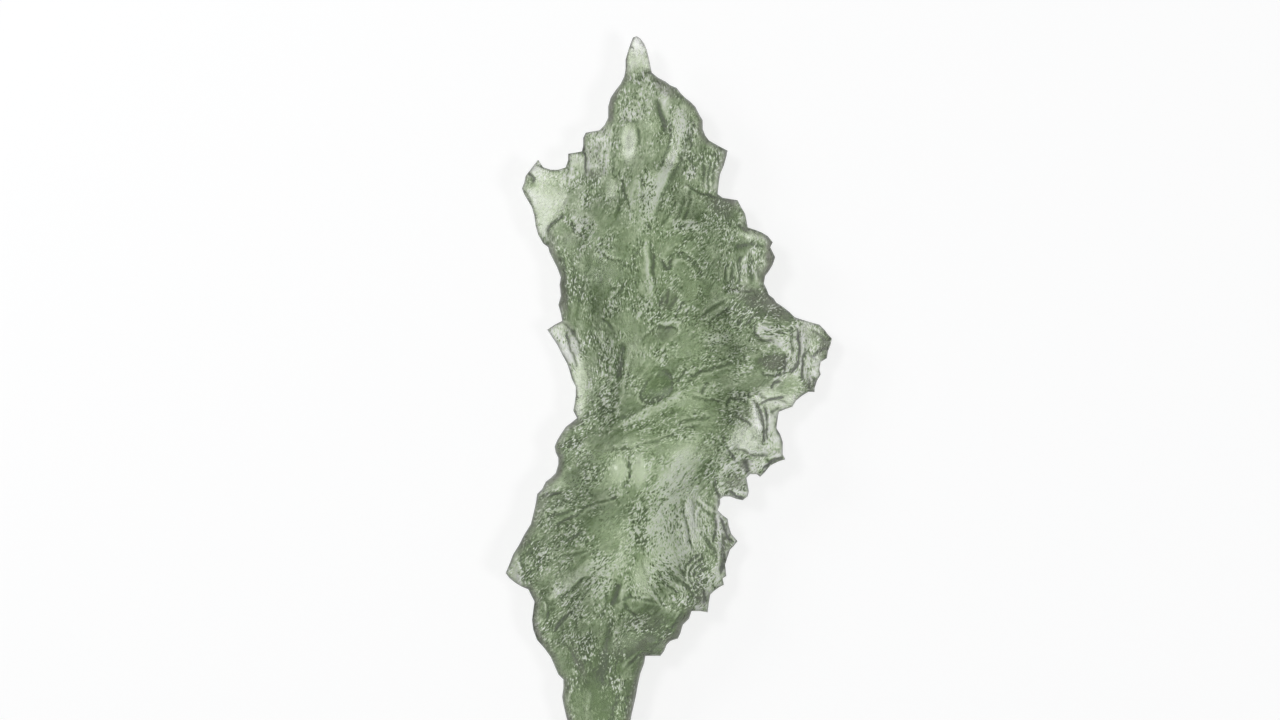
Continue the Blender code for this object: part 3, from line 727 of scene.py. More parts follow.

# %% [markdown]
# Smooth windows and rough zones
#
# Some patches of the skin are almost polished, and light passes straight through them. Others are
# crowded with deep little cups that sparkle, and there the tint also gets painted glints and dark
# specks. Both are soft ovals: the place on the grid, the two half-widths in steps, and how strongly
# the oval counts.

# %% Windows and rough zones
WINDOWS = [
    (629, 143, 9, 22, 1.0), (610, 190, 7, 12, 0.8), (568, 245, 9, 12, 0.6),
    (692, 291, 9, 10, 0.8), (581, 386, 9, 30, 0.8), (618, 470, 10, 16, 1.0),
    (639, 470, 8, 22, 1.0), (747, 440, 19, 16, 1.0), (630, 438, 9, 8, 0.8),
    (775, 400, 24, 9, 0.8), (820, 345, 13, 20, 0.6), (792, 384, 10, 11, 0.9),
    (598, 705, 30, 24, 0.8), (640, 642, 30, 10, 0.8), (690, 404, 18, 10, 0.7),
    (569, 708, 5, 9, 0.6), (545, 200, 22, 34, 0.8),
    (639, 52, 14, 22, 0.7), (642, 576, 12, 20, 0.7), (700, 450, 26, 12, 0.5),
    (757, 418, 6, 18, 0.9), (748, 234, 10, 5, 0.9), (598, 765, 30, 26, 0.6),
    (680, 330, 14, 10, 0.4), (714, 330, 26, 12, 0.4), (606, 520, 12, 18, 0.4),
    (620, 545, 8, 30, 0.5), (690, 350, 22, 10, 0.4), (600, 455, 24, 7, 0.5),
    (604, 270, 24, 18, 0.6), (570, 256, 9, 20, 0.6), (631, 345, 9, 34, 0.7), (661, 387, 17, 14, 0.8),
    (560, 448, 14, 12, 0.4), (676, 448, 30, 12, 0.6), (672, 150, 9, 26, 0.6), (650, 122, 12, 12, 0.6),
    (812, 332, 14, 8, 0.7), (578, 484, 30, 9, 0.4), (609, 530, 16, 14, 0.4), (640, 252, 12, 8, 0.3),
    (696, 112, 10, 14, 0.7), (600, 640, 8, 14, 0.4), (658, 648, 22, 10, 0.5),
]
ROUGH = [
    (640, 78, 10, 6, 0.7), (647, 196, 9, 26, 0.8), (612, 307, 9, 9, 0.9), (609, 407, 12, 19, 1.0),
    (583, 227, 13, 10, 1.0), (641, 527, 13, 20, 1.0), (661, 571, 15, 15, 0.9),
    (668, 515, 18, 34, 0.6), (735, 471, 12, 11, 1.0), (740, 395, 13, 5, 0.7),
    (587, 648, 11, 14, 1.0), (641, 622, 10, 10, 1.0), (617, 684, 9, 9, 0.7),
    (700, 602, 9, 12, 1.0), (539, 556, 12, 15, 0.9), (662, 358, 8, 9, 1.0),
    (718, 336, 16, 12, 0.8), (777, 331, 12, 9, 0.8), (775, 312, 10, 8, 1.0),
    (603, 256, 10, 6, 0.8), (615, 493, 7, 6, 0.9), (592, 474, 12, 12, 0.8),
    (690, 172, 7, 8, 1.0), (732, 288, 12, 6, 0.8), (600, 572, 12, 22, 0.8),
    (703, 581, 16, 12, 0.9), (524, 570, 8, 15, 0.6), (722, 530, 9, 24, 0.7),
    (587, 199, 7, 8, 0.8), (657, 88, 16, 10, 0.6), (650, 310, 16, 16, 0.6),
    (570, 445, 10, 10, 0.6), (735, 415, 12, 12, 0.7), (610, 360, 12, 20, 0.5),
    (682, 138, 16, 26, 0.4), (570, 535, 20, 14, 0.5), (812, 384, 7, 10, 0.8),
    (623, 640, 10, 14, 0.4), (575, 606, 8, 20, 0.3), (740, 320, 20, 16, 0.4),
    (686, 226, 14, 8, 0.9), (631, 114, 12, 9, 0.5), (690, 535, 40, 70, 0.15), (800, 350, 36, 36, 0.35),
    (740, 465, 40, 46, 0.40), (730, 545, 10, 34, 0.8), (550, 175, 24, 20, 0.2),
]


def oval(right, down, half_long, half_short, angle=0.0):
    """Window of the map, and 1 inside the oval there, falling to 0 at an edge that waves fray."""
    (x, y), reach = on_stone((right, down)), 1.4 * max(half_long, half_short) * STEP
    part = (slice(*np.searchsorted(map_y, (y - reach, y + reach))),
            slice(*np.searchsorted(map_x, (x - reach, x + reach))))
    off_x, off_y = wobble_x[part] - x, wobble_y[part] - y
    cosine, sine = math.cos(math.radians(angle)), math.sin(math.radians(angle))
    along, across = off_x * cosine + off_y * sine, off_y * cosine - off_x * sine
    away = np.hypot(along / (half_long * STEP), across / (half_short * STEP))
    return part, 1 - smooth_step(away, 0.5, 1.25)


def strongest(patches):
    """The strongest of the soft ovals in each cell, 0 to 1."""
    field = np.zeros(X.shape)
    for right, down, half_x, half_y, strength in patches:
        part, inside = oval(right, down, half_x, half_y)
        field[part] = np.maximum(field[part], strength * inside)
    return field


window = strongest(WINDOWS)
rough = strongest(ROUGH)
print("window share:", round(float((window > 0.5).sum() / (depth > 0).sum()), 2),
      "rough share:", round(float((rough > 0.5).sum() / (depth > 0).sum()), 2))

# %% [markdown]
# Body, fins and shades
#
# The stone's body is green all through, and its thin fins are nearly clear. Where a fin starts
# is plain to see on the real stone, so the body's edge is drawn as a ring, which runs outside
# the rim wherever there is no fin. Paler and darker patches of the body are soft ovals again,
# each turned by an angle and with the amount that it adds: the body's own tone, and painted light
# and shade as well. A second list of ovals holds the dull grey-brown patches, most of them close
# to the rim, where they paint shade too.

# %% The body's ring and the shades
BODY_RING = [
    (618, 84), (630, 66), (641, 64), (652, 70), (664, 68), (692, 84), (712, 108), (716, 135),
    (735, 138), (735, 165), (730, 188), (737, 196), (739, 210), (741, 222), (752, 226),
    (768, 230), (785, 236), (784, 262), (774, 284), (778, 296), (788, 306), (776, 314),
    (760, 320), (757, 334),
    (771, 341), (785, 348), (790, 358), (787, 368), (776, 380), (760, 388), (752, 392),
    (751, 402), (755, 414), (748, 421), (737, 424), (731, 436), (731, 448), (722, 460),
    (721, 480), (718, 498), (716, 515), (718, 530), (722, 548), (720, 562), (714, 576),
    (706, 590), (698, 600), (694, 620), (684, 660), (650, 700), (630, 800), (560, 800),
    (530, 700), (520, 640), (526, 597), (521, 585), (518, 572), (517, 560), (512, 540),
    (520, 500), (546, 460), (570, 420), (581, 417), (580, 404), (579, 385), (580, 369),
    (579, 355), (579, 346), (575, 335), (567, 323), (552, 316), (545, 260), (545, 232),
    (555, 218), (564, 205), (567, 187), (585, 180), (601, 183), (607, 170), (610, 150),
    (611, 136), (606, 124), (600, 112), (612, 88),
]
# Painted light and shade, and the body's own paler and darker tone
# Right, down, half the length, half the breadth, angle, and how much paler it gets
TONE_AND_PAINTED_SHADE = [
    (639, 46, 12, 9, 90, 0.70), (640, 64, 9, 10, 90, 0.10), (650, 96, 18, 14, 80, 0.40),
    (661, 99, 8, 7, 20, 0.35), (684, 96, 18, 6, -50, -0.70), (700, 118, 20, 7, -65, -0.35),
    (631, 114, 12, 9, 10, 1.05), (612, 104, 14, 5, 75, -0.40), (662, 125, 17, 6, 75, -0.35),
    (681, 120, 16, 8, 80, 0.70), (669, 163, 18, 6, 68, 0.60), (655, 193, 28, 12, 72, 0.65),
    (630, 143, 22, 9, 85, 0.75), (655, 148, 18, 10, 85, 0.15), (693, 174, 9, 9, 0, 0.40),
    (700, 163, 20, 14, 85, -0.38), (711, 186, 8, 6, 0, 0.55), (705, 196, 18, 4, -20, -0.75),
    (728, 211, 18, 11, -50, -0.60), (644, 200, 34, 20, 80, 0.45), (607, 160, 16, 7, 85, -0.20),
    (594, 150, 18, 10, 85, 0.05), (592, 177, 11, 7, 0, -1.00), (532, 183, 8, 6, 60, -0.85),
    (560, 178, 22, 14, 40, -0.30), (560, 210, 20, 8, 60, 0.10), (579, 175, 14, 6, 75, -0.40),
    (585, 222, 16, 9, -25, 0.60), (575, 212, 11, 8, 60, 0.35), (686, 226, 15, 9, -5, 0.80),
    (613, 192, 13, 6, 80, 0.45), (621, 206, 14, 5, 70, -0.30), (615, 222, 16, 8, 80, -0.20),
    (560, 225, 14, 7, 60, -0.15), (572, 243, 12, 8, 0, -0.30), (610, 256, 8, 8, 0, 0.35),
    (640, 252, 16, 10, 80, -0.20), (586, 304, 9, 7, 0, 0.30), (645, 278, 35, 6, 88, 0.28),
    (607, 283, 44, 30, 70, -0.30), (665, 306, 14, 9, 60, -0.35), (669, 322, 13, 3, 0, 0.60),
    (664, 333, 12, 8, 70, -0.40), (662, 357, 11, 6, 85, 0.60), (693, 293, 11, 9, 0, -0.20),
    (692, 262, 20, 7, 30, -0.20), (720, 232, 20, 7, 0, 0.15), (718, 300, 12, 10, 60, 0.18),
    (732, 318, 20, 12, 45, -0.20), (718, 339, 14, 10, 10, 0.35), (661, 386, 24, 12, 55, -0.75),
    (620, 362, 18, 7, 75, -0.35), (593, 380, 24, 9, 85, 0.10), (596, 410, 34, 14, 70, -0.30),
    (635, 355, 24, 8, 85, 0.12), (665, 404, 34, 6, 28, 0.35), (715, 386, 30, 9, 20, 0.30),
    (712, 407, 18, 8, 5, -0.10), (628, 430, 14, 8, 10, -0.35), (772, 312, 28, 15, -35, -1.15),
    (752, 300, 18, 10, 20, -0.35), (773, 362, 19, 10, 5, -1.30), (754, 262, 16, 8, 85, 0.15),
    (757, 236, 18, 4, -10, 0.65), (772, 256, 10, 4, 80, -1.00), (765, 278, 10, 5, -50, -0.60),
    (770, 330, 16, 8, 10, -0.15), (824, 344, 16, 6, 75, -0.85), (808, 346, 26, 20, 20, -0.30),
    (788, 385, 28, 12, 8, -0.60), (812, 384, 9, 8, 40, -0.55), (742, 412, 10, 14, 90, -0.30),
    (618, 470, 16, 9, 80, 0.20), (642, 468, 20, 12, 60, 0.55), (600, 462, 12, 6, 0, -0.15),
    (678, 466, 30, 14, 45, 0.60), (703, 472, 18, 8, 60, -0.45), (676, 520, 66, 28, 84, 1.05),
    (641, 529, 20, 9, 80, -0.35), (700, 535, 30, 10, 85, 0.15), (594, 526, 40, 24, 25, -0.32),
    (545, 548, 26, 12, 55, -0.15), (570, 585, 26, 12, 40, 0.25), (604, 576, 28, 13, 60, 0.60),
    (626, 548, 24, 7, 80, 0.40), (645, 582, 24, 13, 80, 0.55), (660, 600, 22, 6, -45, 0.25),
    (646, 616, 24, 16, 20, -0.55), (641, 622, 8, 7, 0, 0.60), (588, 640, 12, 11, 0, -0.20),
    (600, 610, 16, 8, 80, 0.20), (628, 645, 32, 16, 10, -0.45), (562, 627, 13, 6, 40, -0.35),
    (598, 700, 40, 32, 90, -0.60), (598, 770, 40, 32, 90, -0.60), (692, 600, 14, 10, 60, -0.20),
    (735, 480, 15, 11, 20, -0.80), (726, 542, 30, 7, 85, -0.90), (704, 600, 10, 15, 60, -0.70),
    (757, 459, 30, 5, -5, -0.45), (790, 452, 9, 5, 90, -0.50), (576, 352, 12, 20, 90, 0.05),
    (748, 440, 18, 14, -10, 0.25), (756, 416, 16, 6, 100, 0.50), (722, 540, 12, 4, 85, 0.60),
    (568, 285, 46, 13, 98, -0.45), (692, 241, 15, 8, 0, -0.25), (567, 448, 22, 12, 70, -0.55),
    (530, 560, 30, 10, 95, -0.45), (550, 612, 38, 11, 100, -0.45), (663, 636, 38, 17, 38, -1.10),
    (600, 662, 46, 13, 0, -0.50), (636, 688, 38, 12, 75, -0.65), (562, 345, 26, 9, 115, 0.90),
]
SHADE_WEIGHT = 0.34
# Dull grey-brown patches, with painted shade near the rim: right, down, half the length, half the
# breadth, angle, and how dull
GREYS = [
    (639, 60, 14, 9, 90, 0.35), (666, 88, 17, 8, -32, 0.75), (692, 106, 16, 6, -52, 0.60),
    (698, 126, 12, 6, -70, 0.40), (608, 102, 18, 5, 70, 0.55), (603, 128, 8, 6, 60, 0.40),
    (594, 152, 14, 9, 85, 0.35), (594, 173, 12, 6, 0, 0.60), (527, 181, 9, 6, 60, 0.40),
    (560, 292, 28, 6, 102, 0.95), (551, 240, 12, 5, 110, 0.55), (571, 238, 14, 6, 0, 0.30),
    (770, 257, 14, 5, 88, 0.95), (761, 276, 12, 6, 110, 0.50), (752, 296, 20, 10, -25, 0.50),
    (778, 310, 18, 9, -35, 0.60), (814, 332, 20, 9, -20, 0.35), (825, 347, 14, 7, 80, 0.75),
    (774, 362, 17, 9, 5, 0.55), (812, 384, 9, 8, 60, 0.60), (720, 206, 16, 9, -30, 0.45),
    (668, 300, 14, 9, 60, 0.35), (665, 335, 11, 8, 0, 0.40), (516, 578, 20, 5, 95, 0.55),
    (735, 482, 14, 9, 20, 0.55), (726, 545, 28, 6, 85, 0.65), (704, 600, 14, 10, 60, 0.60),
    (746, 466, 10, 6, 110, 0.80), (560, 440, 26, 5, 62, 0.60), (534, 520, 44, 6, 62, 0.60),
    (646, 618, 22, 12, 20, 0.25), (628, 646, 26, 10, 10, 0.25), (742, 414, 12, 9, 40, 0.30),
    (571, 330, 12, 5, 115, 0.40), (540, 470, 40, 5, 58, 0.35), (578, 660, 24, 5, 112, 0.40),
    (640, 40, 6, 4, 0, 0.25), (776, 405, 12, 5, 0, 0.30), (737, 168, 12, 4, 85, 0.40),
]
body_ring = np.column_stack([on_stone(BODY_RING), np.zeros(len(BODY_RING))])
body_depth = depth_map(body_ring) + 0.08 * waves(X, Y, 0.5, 45)
solid = smooth_step(body_depth, -0.08, 0.35)
tone_and_painted_shade, greys = np.zeros(X.shape), np.zeros(X.shape)
for *place, change in TONE_AND_PAINTED_SHADE:
    part, inside = oval(*place)
    tone_and_painted_shade[part] += SHADE_WEIGHT * change * inside
for *place, amount in GREYS:
    part, inside = oval(*place)
    greys[part] = np.maximum(greys[part], amount * inside)
print("body share:", round(float((solid > 0.5).sum() / (depth > 0).sum()), 2),
      "shades:", round(float(tone_and_painted_shade.min()), 2), "to", round(float(tone_and_painted_shade.max()), 2))

# %% [markdown]
# Carving the front
#
# The front's relief is the sum of its parts, in millimetres: streaks of the flow at three sizes,
# flakes at two, cups at three, soft waves on the thick body, then the lines and ledges.
# Windows quiet the noise, rough zones add deep cups, and thin fins carry less of everything, so
# that they stay whole.

# %% The front's relief
# Size of a cup and depth in millimetres, and the seed of the random centres
FRONT_CUPS = [(1.5, 0.14, 51), (0.75, 0.14, 52), (0.42, 0.09, 53)]
ROUGH_CUPS = [(0.42, 0.22, 54)]
THIN_BODY, THICK_BODY = 0.9, 2.6
QUIET_WINDOW = 0.85


def add_cups(relief, share, rows):
    """Cups of several sizes, each as deep as its row says, times the share at each place."""
    for size, deep, seed in rows:
        relief += share * deep * cups(wobble_x, wobble_y, size, seed)


body = smooth_step(thickness, THIN_BODY, THICK_BODY)
calm = (1 - QUIET_WINDOW * window) * (0.7 + 0.3 * body)
front_relief = calm * (0.10 * broad_streaks + 0.06 * middle_streaks + 0.03 * fine_streaks)
front_relief += calm * (0.06 * broad_flakes + 0.03 * fine_flakes)
add_cups(front_relief, calm, FRONT_CUPS)
add_cups(front_relief, rough, ROUGH_CUPS)
front_relief += 0.12 * body * waves(X, Y, 1.9, 61) + 0.06 * body * waves(X, Y, 0.9, 62)
# Painted light and shade along the lines and ledges, kept beside the relief they follow
painted_line_shading = np.zeros(X.shape)
for lines in (UPPER_LINES, MIDDLE_LINES, RIGHT_LINES, LOWER_LINES):
    add_lines(front_relief, painted_line_shading, lines)
for ledges in (UPPER_LEDGES, MIDDLE_LEDGES, RIGHT_LEDGES, LOWER_LEDGES):
    add_ledges(front_relief, painted_line_shading, ledges)
print("front relief, mm:", round(float(front_relief.min()), 2), "to",
      round(float(front_relief.max()), 2))

# %% [markdown]
# Carving the back
#
# The back isn't seen in the picture, but it is seen through the glass, and a stone gets turned
# over. It has the same kinds of etching with other random numbers. Close to the ground it is
# hollowed a little, so that the stone rests on small spots and not on one polished patch.

# %% The back's relief
BACK_CUPS = [(1.9, 0.22, 73), (0.8, 0.16, 74)]
FOOT_HOLLOW = 0.22
FOOT_HEIGHT = 0.5
foot = 1 - smooth_step(back_form, 0.0, FOOT_HEIGHT)
back_calm = 0.7 + 0.3 * body
back_relief = back_calm * (0.16 * streaks(0.7, 3.6, 71) + 0.10 * streaks(0.36, 1.8, 72))
add_cups(back_relief, back_calm, BACK_CUPS)
back_relief *= 1 - 0.6 * window
back_relief -= FOOT_HOLLOW * foot
print("back relief, mm:", round(float(back_relief.min()), 2), "to",
      round(float(back_relief.max()), 2))

# %% [markdown]
# From maps to a mesh
#
# The mesh's points lie in even rows, about a tenth of a millimetre apart in front and a quarter
# at the back. Every other row is shifted by half a step, so that the triangles are nearly even.
# Two extra rows follow the rim inwards, where the edge curves. The rim's own runs are split into
# short steps too. Both sheets share the rim's points, so the mesh is closed.

# %% Points inside the rim
FRONT_SPACING = 0.110
BACK_SPACING = 0.24
RIM_SPACING = 0.16
ROWS_INWARDS = (0.06, 0.15)
EDGE_ROUNDING = 0.34
THINNEST = 0.24
LOWEST_FRONT = 0.05
OVER_SOLID = 0.1


def split_rim():
    """The rim with each run split into equal steps of about the rim spacing."""
    runs = np.roll(rim, -1, axis=0) - rim
    parts = np.maximum(np.rint(np.hypot(runs[:, 0], runs[:, 1]) / RIM_SPACING), 1).astype(int)
    start = np.repeat(np.arange(len(rim)), parts)
    share = np.arange(parts.sum()) - np.repeat(np.cumsum(parts) - parts, parts)
    return rim[start] + runs[start] * (share / parts[start])[:, None]


def rows_along_rim(points):
    """Rows of points that follow the rim inwards, without those that a corner crowds."""
    along = np.roll(points, -1, axis=0) - np.roll(points, 1, axis=0)
    inwards = np.stack([-along[:, 1], along[:, 0]], axis=1)
    inwards /= np.hypot(along[:, 0], along[:, 1])[:, None]
    rows = []
    for reach in ROWS_INWARDS:
        row = points[:, :2] + reach * inwards
        distance, _ = to_ring(row[:, 0], row[:, 1], rim)
        rows.append(row[distance > 0.85 * reach])
    return np.concatenate(rows)


def rows_inside(spacing):
    """Even rows of points, every other one shifted by half a step, clear of the rim's rows."""
    rise = spacing * math.sqrt(0.75)
    number, place = np.meshgrid(np.arange(int(2 * half_box[1] / rise)),
                                np.arange(int(2 * half_box[0] / spacing)), indexing="ij")
    x = -half_box[0] + (place + 0.5 * (number % 2)) * spacing
    y = -half_box[1] + number * rise
    x, y = x.reshape(-1), y.reshape(-1)
    near = read_map(depth, x, y) > 0
    x, y = x[near], y[near]
    distance, _ = to_ring(x, y, rim)
    clear = distance > ROWS_INWARDS[-1] + 0.55 * spacing
    return np.stack([x[clear], y[clear]], axis=1)


rim_fine = split_rim()
rim_rows = rows_along_rim(rim_fine)
print("rim points:", len(rim_fine), "along it:", len(rim_rows))

# %% Triangles between the points


def filled(inner):
    """Points and upward triangles that fill the rim. The rim's points come first, in order."""
    flat = np.concatenate([rim_fine[:, :2], rim_rows, inner])
    count = len(rim_fine)
    edges = [(i, (i + 1) % count) for i in range(count)]
    result = geometry.delaunay_2d_cdt([Vector(place) for place in flat.tolist()], edges, [],
                                      1, 1e-7)
    points = np.array([place.to_tuple() for place in result[0]])
    triangles = np.array(result[2])
    turned = upward_area(points, triangles) < 0
    triangles[turned] = triangles[turned][:, ::-1]
    return points, triangles


def sheet_heights(points, form):
    """The form inside, and the rim's own height at the rim, joined by a quarter of a circle."""
    x, y = points.T
    distance, rim_height = to_ring(x, y, rim)
    part = np.clip(distance / EDGE_ROUNDING, 0.0, 1.0)
    edge = np.sqrt(1.0 - (1.0 - part) ** 2)
    return rim_height + (read_map(form, x, y) - rim_height) * edge


front_points, front_mesh = filled(rows_inside(FRONT_SPACING))
back_points, back_mesh = filled(rows_inside(BACK_SPACING))
print("triangles:", len(front_mesh), "front,", len(back_mesh), "back")

# %% Heights of both sheets
middle_form = (front_form + back_form) / 2
front_top = np.maximum(front_form + front_relief, middle_form + THINNEST / 2)
back_low = np.minimum(back_form - back_relief, middle_form - THINNEST / 2)
front_z = sheet_heights(front_points, front_top)
back_z = sheet_heights(back_points, back_low)
front_z = np.clip(front_z, LOWEST_FRONT, cad_high[2] / MM + OVER_SOLID)
back_z = np.clip(back_z, 0.0, None)
print("front up to", round(float(front_z.max()), 2), "mm, lowest spot of the back",
      round(float(back_z.min()), 2), "mm")

# %% The stone's mesh
rim_count = len(rim_fine)
back_z[:rim_count] = front_z[:rim_count]
corners = np.concatenate([np.column_stack([front_points, front_z]),
                          np.column_stack([back_points, back_z])[rim_count:]])
twin = np.arange(len(back_points))
twin[rim_count:] += len(front_points) - rim_count
faces = np.concatenate([front_mesh, twin[back_mesh][:, ::-1]])
stone_mesh = bpy.data.meshes.new("etched_stone")
stone_mesh.from_pydata((corners * MM).tolist(), [], faces.tolist())
stone_mesh.shade_smooth()
stone = bpy.data.objects.new("etched_stone", stone_mesh)
bpy.context.scene.collection.objects.link(stone)
print("stone:", len(corners), "points,", len(faces), "triangles")

# %% [markdown]
# What the finish needs to know
#
# A few numbers go with each point of the mesh. "light" is how pale the skin's tint is, part its
# clearness and part painted light: most on the fins, less on the body, more on single flakes, with
# painted highlights on crests and painted shade in furrows. The back is paler throughout, so the
# front's details aren't veiled by what lies under them. "dark" is painted shade, in furrows and in
# the thin line along the rim, where light is bent away. "brown" is painted shade in the dull band
# just inside the rim, and the grey-brown patches. "smooth" and "rough" steer the gloss, the fine
# pits and the painted glints.
# "flow_even" and "flow_slant" are the cosine and sine of twice the flow's angle: the first is 1
# where the glass flowed across and -1 where it flowed upwards, the second is 1 or -1 on slants.

# %% Skin attributes


def both_sheets(name, front_field, back_field):
    """Reads a map at each sheet's points and stores one number a point, the front's first."""
    values = np.concatenate([read_map(front_field, *front_points.T),
                             read_map(back_field, *back_points.T)[rim_count:]])
    values = values.astype(np.float32)
    attribute = stone_mesh.attributes.new(name, "FLOAT", "POINT")
    attribute.data.foreach_set("value", values)
    print(name, "mean", round(float(values.mean()), 3), "most", round(float(values.max()), 2))


def crest_map(field):
    """How far a cell stands over its surroundings, 1 from the full height up. Given a map turned
    upside down, it tells how far the cell lies under them."""
    return smooth_step(field - blurred(field, SURROUNDINGS), 0.01, FULL_CREST)


BODY_LIGHT = 0.425
FIN_LIGHT = 0.68
BACK_LIGHT = 0.97
SURROUNDINGS = 0.20
FULL_CREST = 0.12
PAINTED_RIM_WIDTH = 0.14
BAND_START, BAND_END = 0.25, 0.65
etched = (1 - 0.8 * window) * (1 + 0.8 * rough)
light = BODY_LIGHT + (FIN_LIGHT - BODY_LIGHT) * (1 - solid) + tone_and_painted_shade + 0.07 * window * solid
light += solid * (0.05 * broad_streaks + 0.05 * waves(X, Y, 2.2, 81))
light += etched * (0.05 * middle_streaks + 0.04 * broad_flakes + 0.03 * fine_flakes)
light += (1 - solid) * (1 - 0.9 * window) * (0.16 * waves(X, Y, 0.8, 82) + 0.10 * broad_streaks)
# Painted glints and dark specks in the rough zones: random lighter and darker cells of the tint
_, painted_glint = cells(wobble_x, wobble_y, 0.36, 85)
light += rough * etched * (0.26 * smooth_step(painted_glint, 0.45, 0.85)
                           - 0.22 * smooth_step(-painted_glint, 0.45, 0.85))
# The lines' painted highlights and painted shade go into the tint
light += (0.36 - 0.16 * window) * painted_line_shading
# Painted highlight on the front's crests and painted shade in its hollows; the back gets painted shade
# in its hollows
front_light = light + 0.10 * crest_map(front_relief) - 0.08 * crest_map(-front_relief)
back_light = BACK_LIGHT + 0.04 * broad_flakes - 0.14 * crest_map(-back_relief)
# Painted shade of the furrows, stronger on the fins than on the body
painted_line_shade = np.maximum(-painted_line_shading, 0) * (1.25 - 0.75 * solid)
# Painted shade in a thin line along the rim, where light is bent away
painted_rim_line = (0.90 + 0.35 * waves(X, Y, 0.6, 83)) * np.exp(-(depth / PAINTED_RIM_WIDTH) ** 2)
dark = np.maximum(painted_line_shade, painted_rim_line)
# Painted shade in a band just inside the body's rim, frayed by waves, joined with the grey-brown
# patches
band = solid * (1 - smooth_step(depth, BAND_START, BAND_END))
band *= 0.65 + 0.4 * waves(X, Y, 1.4, 84)
brown = np.maximum(band, greys * (0.85 + 0.25 * middle_streaks))
both_sheets("light", np.clip(front_light, 0, 1), np.clip(back_light, 0, 1))
for name, field, back_share in (
        ("dark", dark, 0.2), ("brown", brown, 0.1), ("flow_even", flow_x ** 2 - flow_y ** 2, 1.0),
        ("flow_slant", 2 * flow_x * flow_y, 1.0), ("smooth", window, 0.5), ("rough", rough, 0.4)):
    both_sheets(name, field, back_share * field)

# %% [markdown]
# Shader maths as plain expressions
#
# A material is a network of nodes. Written out one by one they are hard to read, so a small class
# wraps a node's output and lets ordinary + - * add the Math nodes.

# %% Sockets that can be added and multiplied


class Wire:
    """A node's output. Arithmetic on it adds a Math node to the same material."""

    def __init__(self, tree, socket):
        self.tree, self.socket = tree, socket

    def node(self, kind, settings=None, **values):
        """One node of any type: its settings first, then the values or links of its inputs. An
        input is given by its name, or as _0, _1 and so on by its place."""
        made = self.tree.nodes.new(kind)
        for name, value in (settings or {}).items():
            setattr(made, name, value)
        for name, value in values.items():
            place = made.inputs[int(name[1:])] if name[1:].isdigit() else made.inputs[name]
            if isinstance(value, Wire):
                self.tree.links.new(value.socket, place)
            else:
                place.default_value = value
        return made

    def math(self, operation, first, second, clamped=False):
        """A Math node of two values, as a new wire."""
        made = self.node("ShaderNodeMath", {"operation": operation, "use_clamp": clamped},
                         _0=first, _1=second)
        return Wire(self.tree, made.outputs[0])

    def __add__(self, other):
        return self.math("ADD", self, other)

    __radd__ = __add__

    def __mul__(self, other):
        return self.math("MULTIPLY", self, other)

    __rmul__ = __mul__

    def __sub__(self, other):
        return self.math("SUBTRACT", self, other)

    def __rsub__(self, other):
        return self.math("SUBTRACT", other, self)

    def clamped(self):
        """The value kept between 0 and 1."""
        return self.math("MULTIPLY", self, 1.0, clamped=True)

    def vector(self, operation, first, second):
        """A Vector Math node, as a wire of its vector, or of its number for a dot product."""
        made = self.node("ShaderNodeVectorMath", {"operation": operation}, _0=first, _1=second)
        return Wire(self.tree, made.outputs["Value" if operation == "DOT_PRODUCT" else "Vector"])

    def ramp(self, stops):
        """A Color Ramp: this value looked up between the stops, as a wire of the colour."""
        made = self.node("ShaderNodeValToRGB", None, _0=self)
        for i, (place, colour) in enumerate(stops):
            band = made.color_ramp.elements
            stop = band[i] if i < len(band) else band.new(place)
            stop.position, stop.color = place, colour
        return Wire(self.tree, made.outputs[0])

    def mix(self, first, second, share):
        """A blend of two colours, each a plain colour or a wire."""
        made = self.node("ShaderNodeMix", {"data_type": "RGBA"}, Factor=share, _6=first,
                         _7=second)
        return Wire(self.tree, made.outputs[2])


# %% [markdown]
# Green glass
#
# The body is plain clear glass: transmission and a refractive index, with the green in its
# volume, so a thick place is deeper in colour and a thin fin is nearly clear. The skin has a tint
# of its own, with light and shade painted into it: one ramp turns the "light" attribute into a
# colour, from deep green to clear. Fine ripples and pits, too small for the mesh, are a bump, and
# at the same places painted light and shade in the tint: raised ripples lighter, the middles of
# pits darker, painted glints on the highest ripples and painted dark specks in the lowest.

# %% The glass
GLASS_IOR = 1.49
ABSORB_COLOUR = (0.375, 0.570, 0.167, 1.0)
ABSORB_DENSITY = 60.0
SKIN_TONES = [
    (0.00, (0.028, 0.043, 0.018, 1.0)),
    (0.25, (0.056, 0.100, 0.030, 1.0)),
    (0.45, (0.196, 0.281, 0.126, 1.0)),
    (0.65, (0.540, 0.648, 0.412, 1.0)),
    (0.85, (0.862, 0.908, 0.790, 1.0)),
    (1.00, (1.000, 1.000, 1.000, 1.0)),
]
# Tint of the grey-brown patches and of the painted shade along the rim
BROWN_AND_RIM_SHADE_TINT = (0.100, 0.103, 0.078, 1.0)
# Tint of the painted shade in furrows and along the rim
PAINTED_SHADE_TINT = (0.055, 0.060, 0.050, 1.0)
BEND_SCALE = 1700.0
BEND_REACH = 0.00030
PATCH_SCALE = 620.0
BUSY_ABOVE = 0.42
RIPPLE_SIZE = (0.00030, 0.00012, 0.00026)
SPARK_ABOVE = 0.08
HOLLOW_BELOW = -0.09
SPARK_GAIN = 9.0
PIT_SCALE = 4600.0
MIDDLE_PIT = 0.45
SKIN_ROUGHNESS = 0.30
SKIN_DEPTH = 0.00018


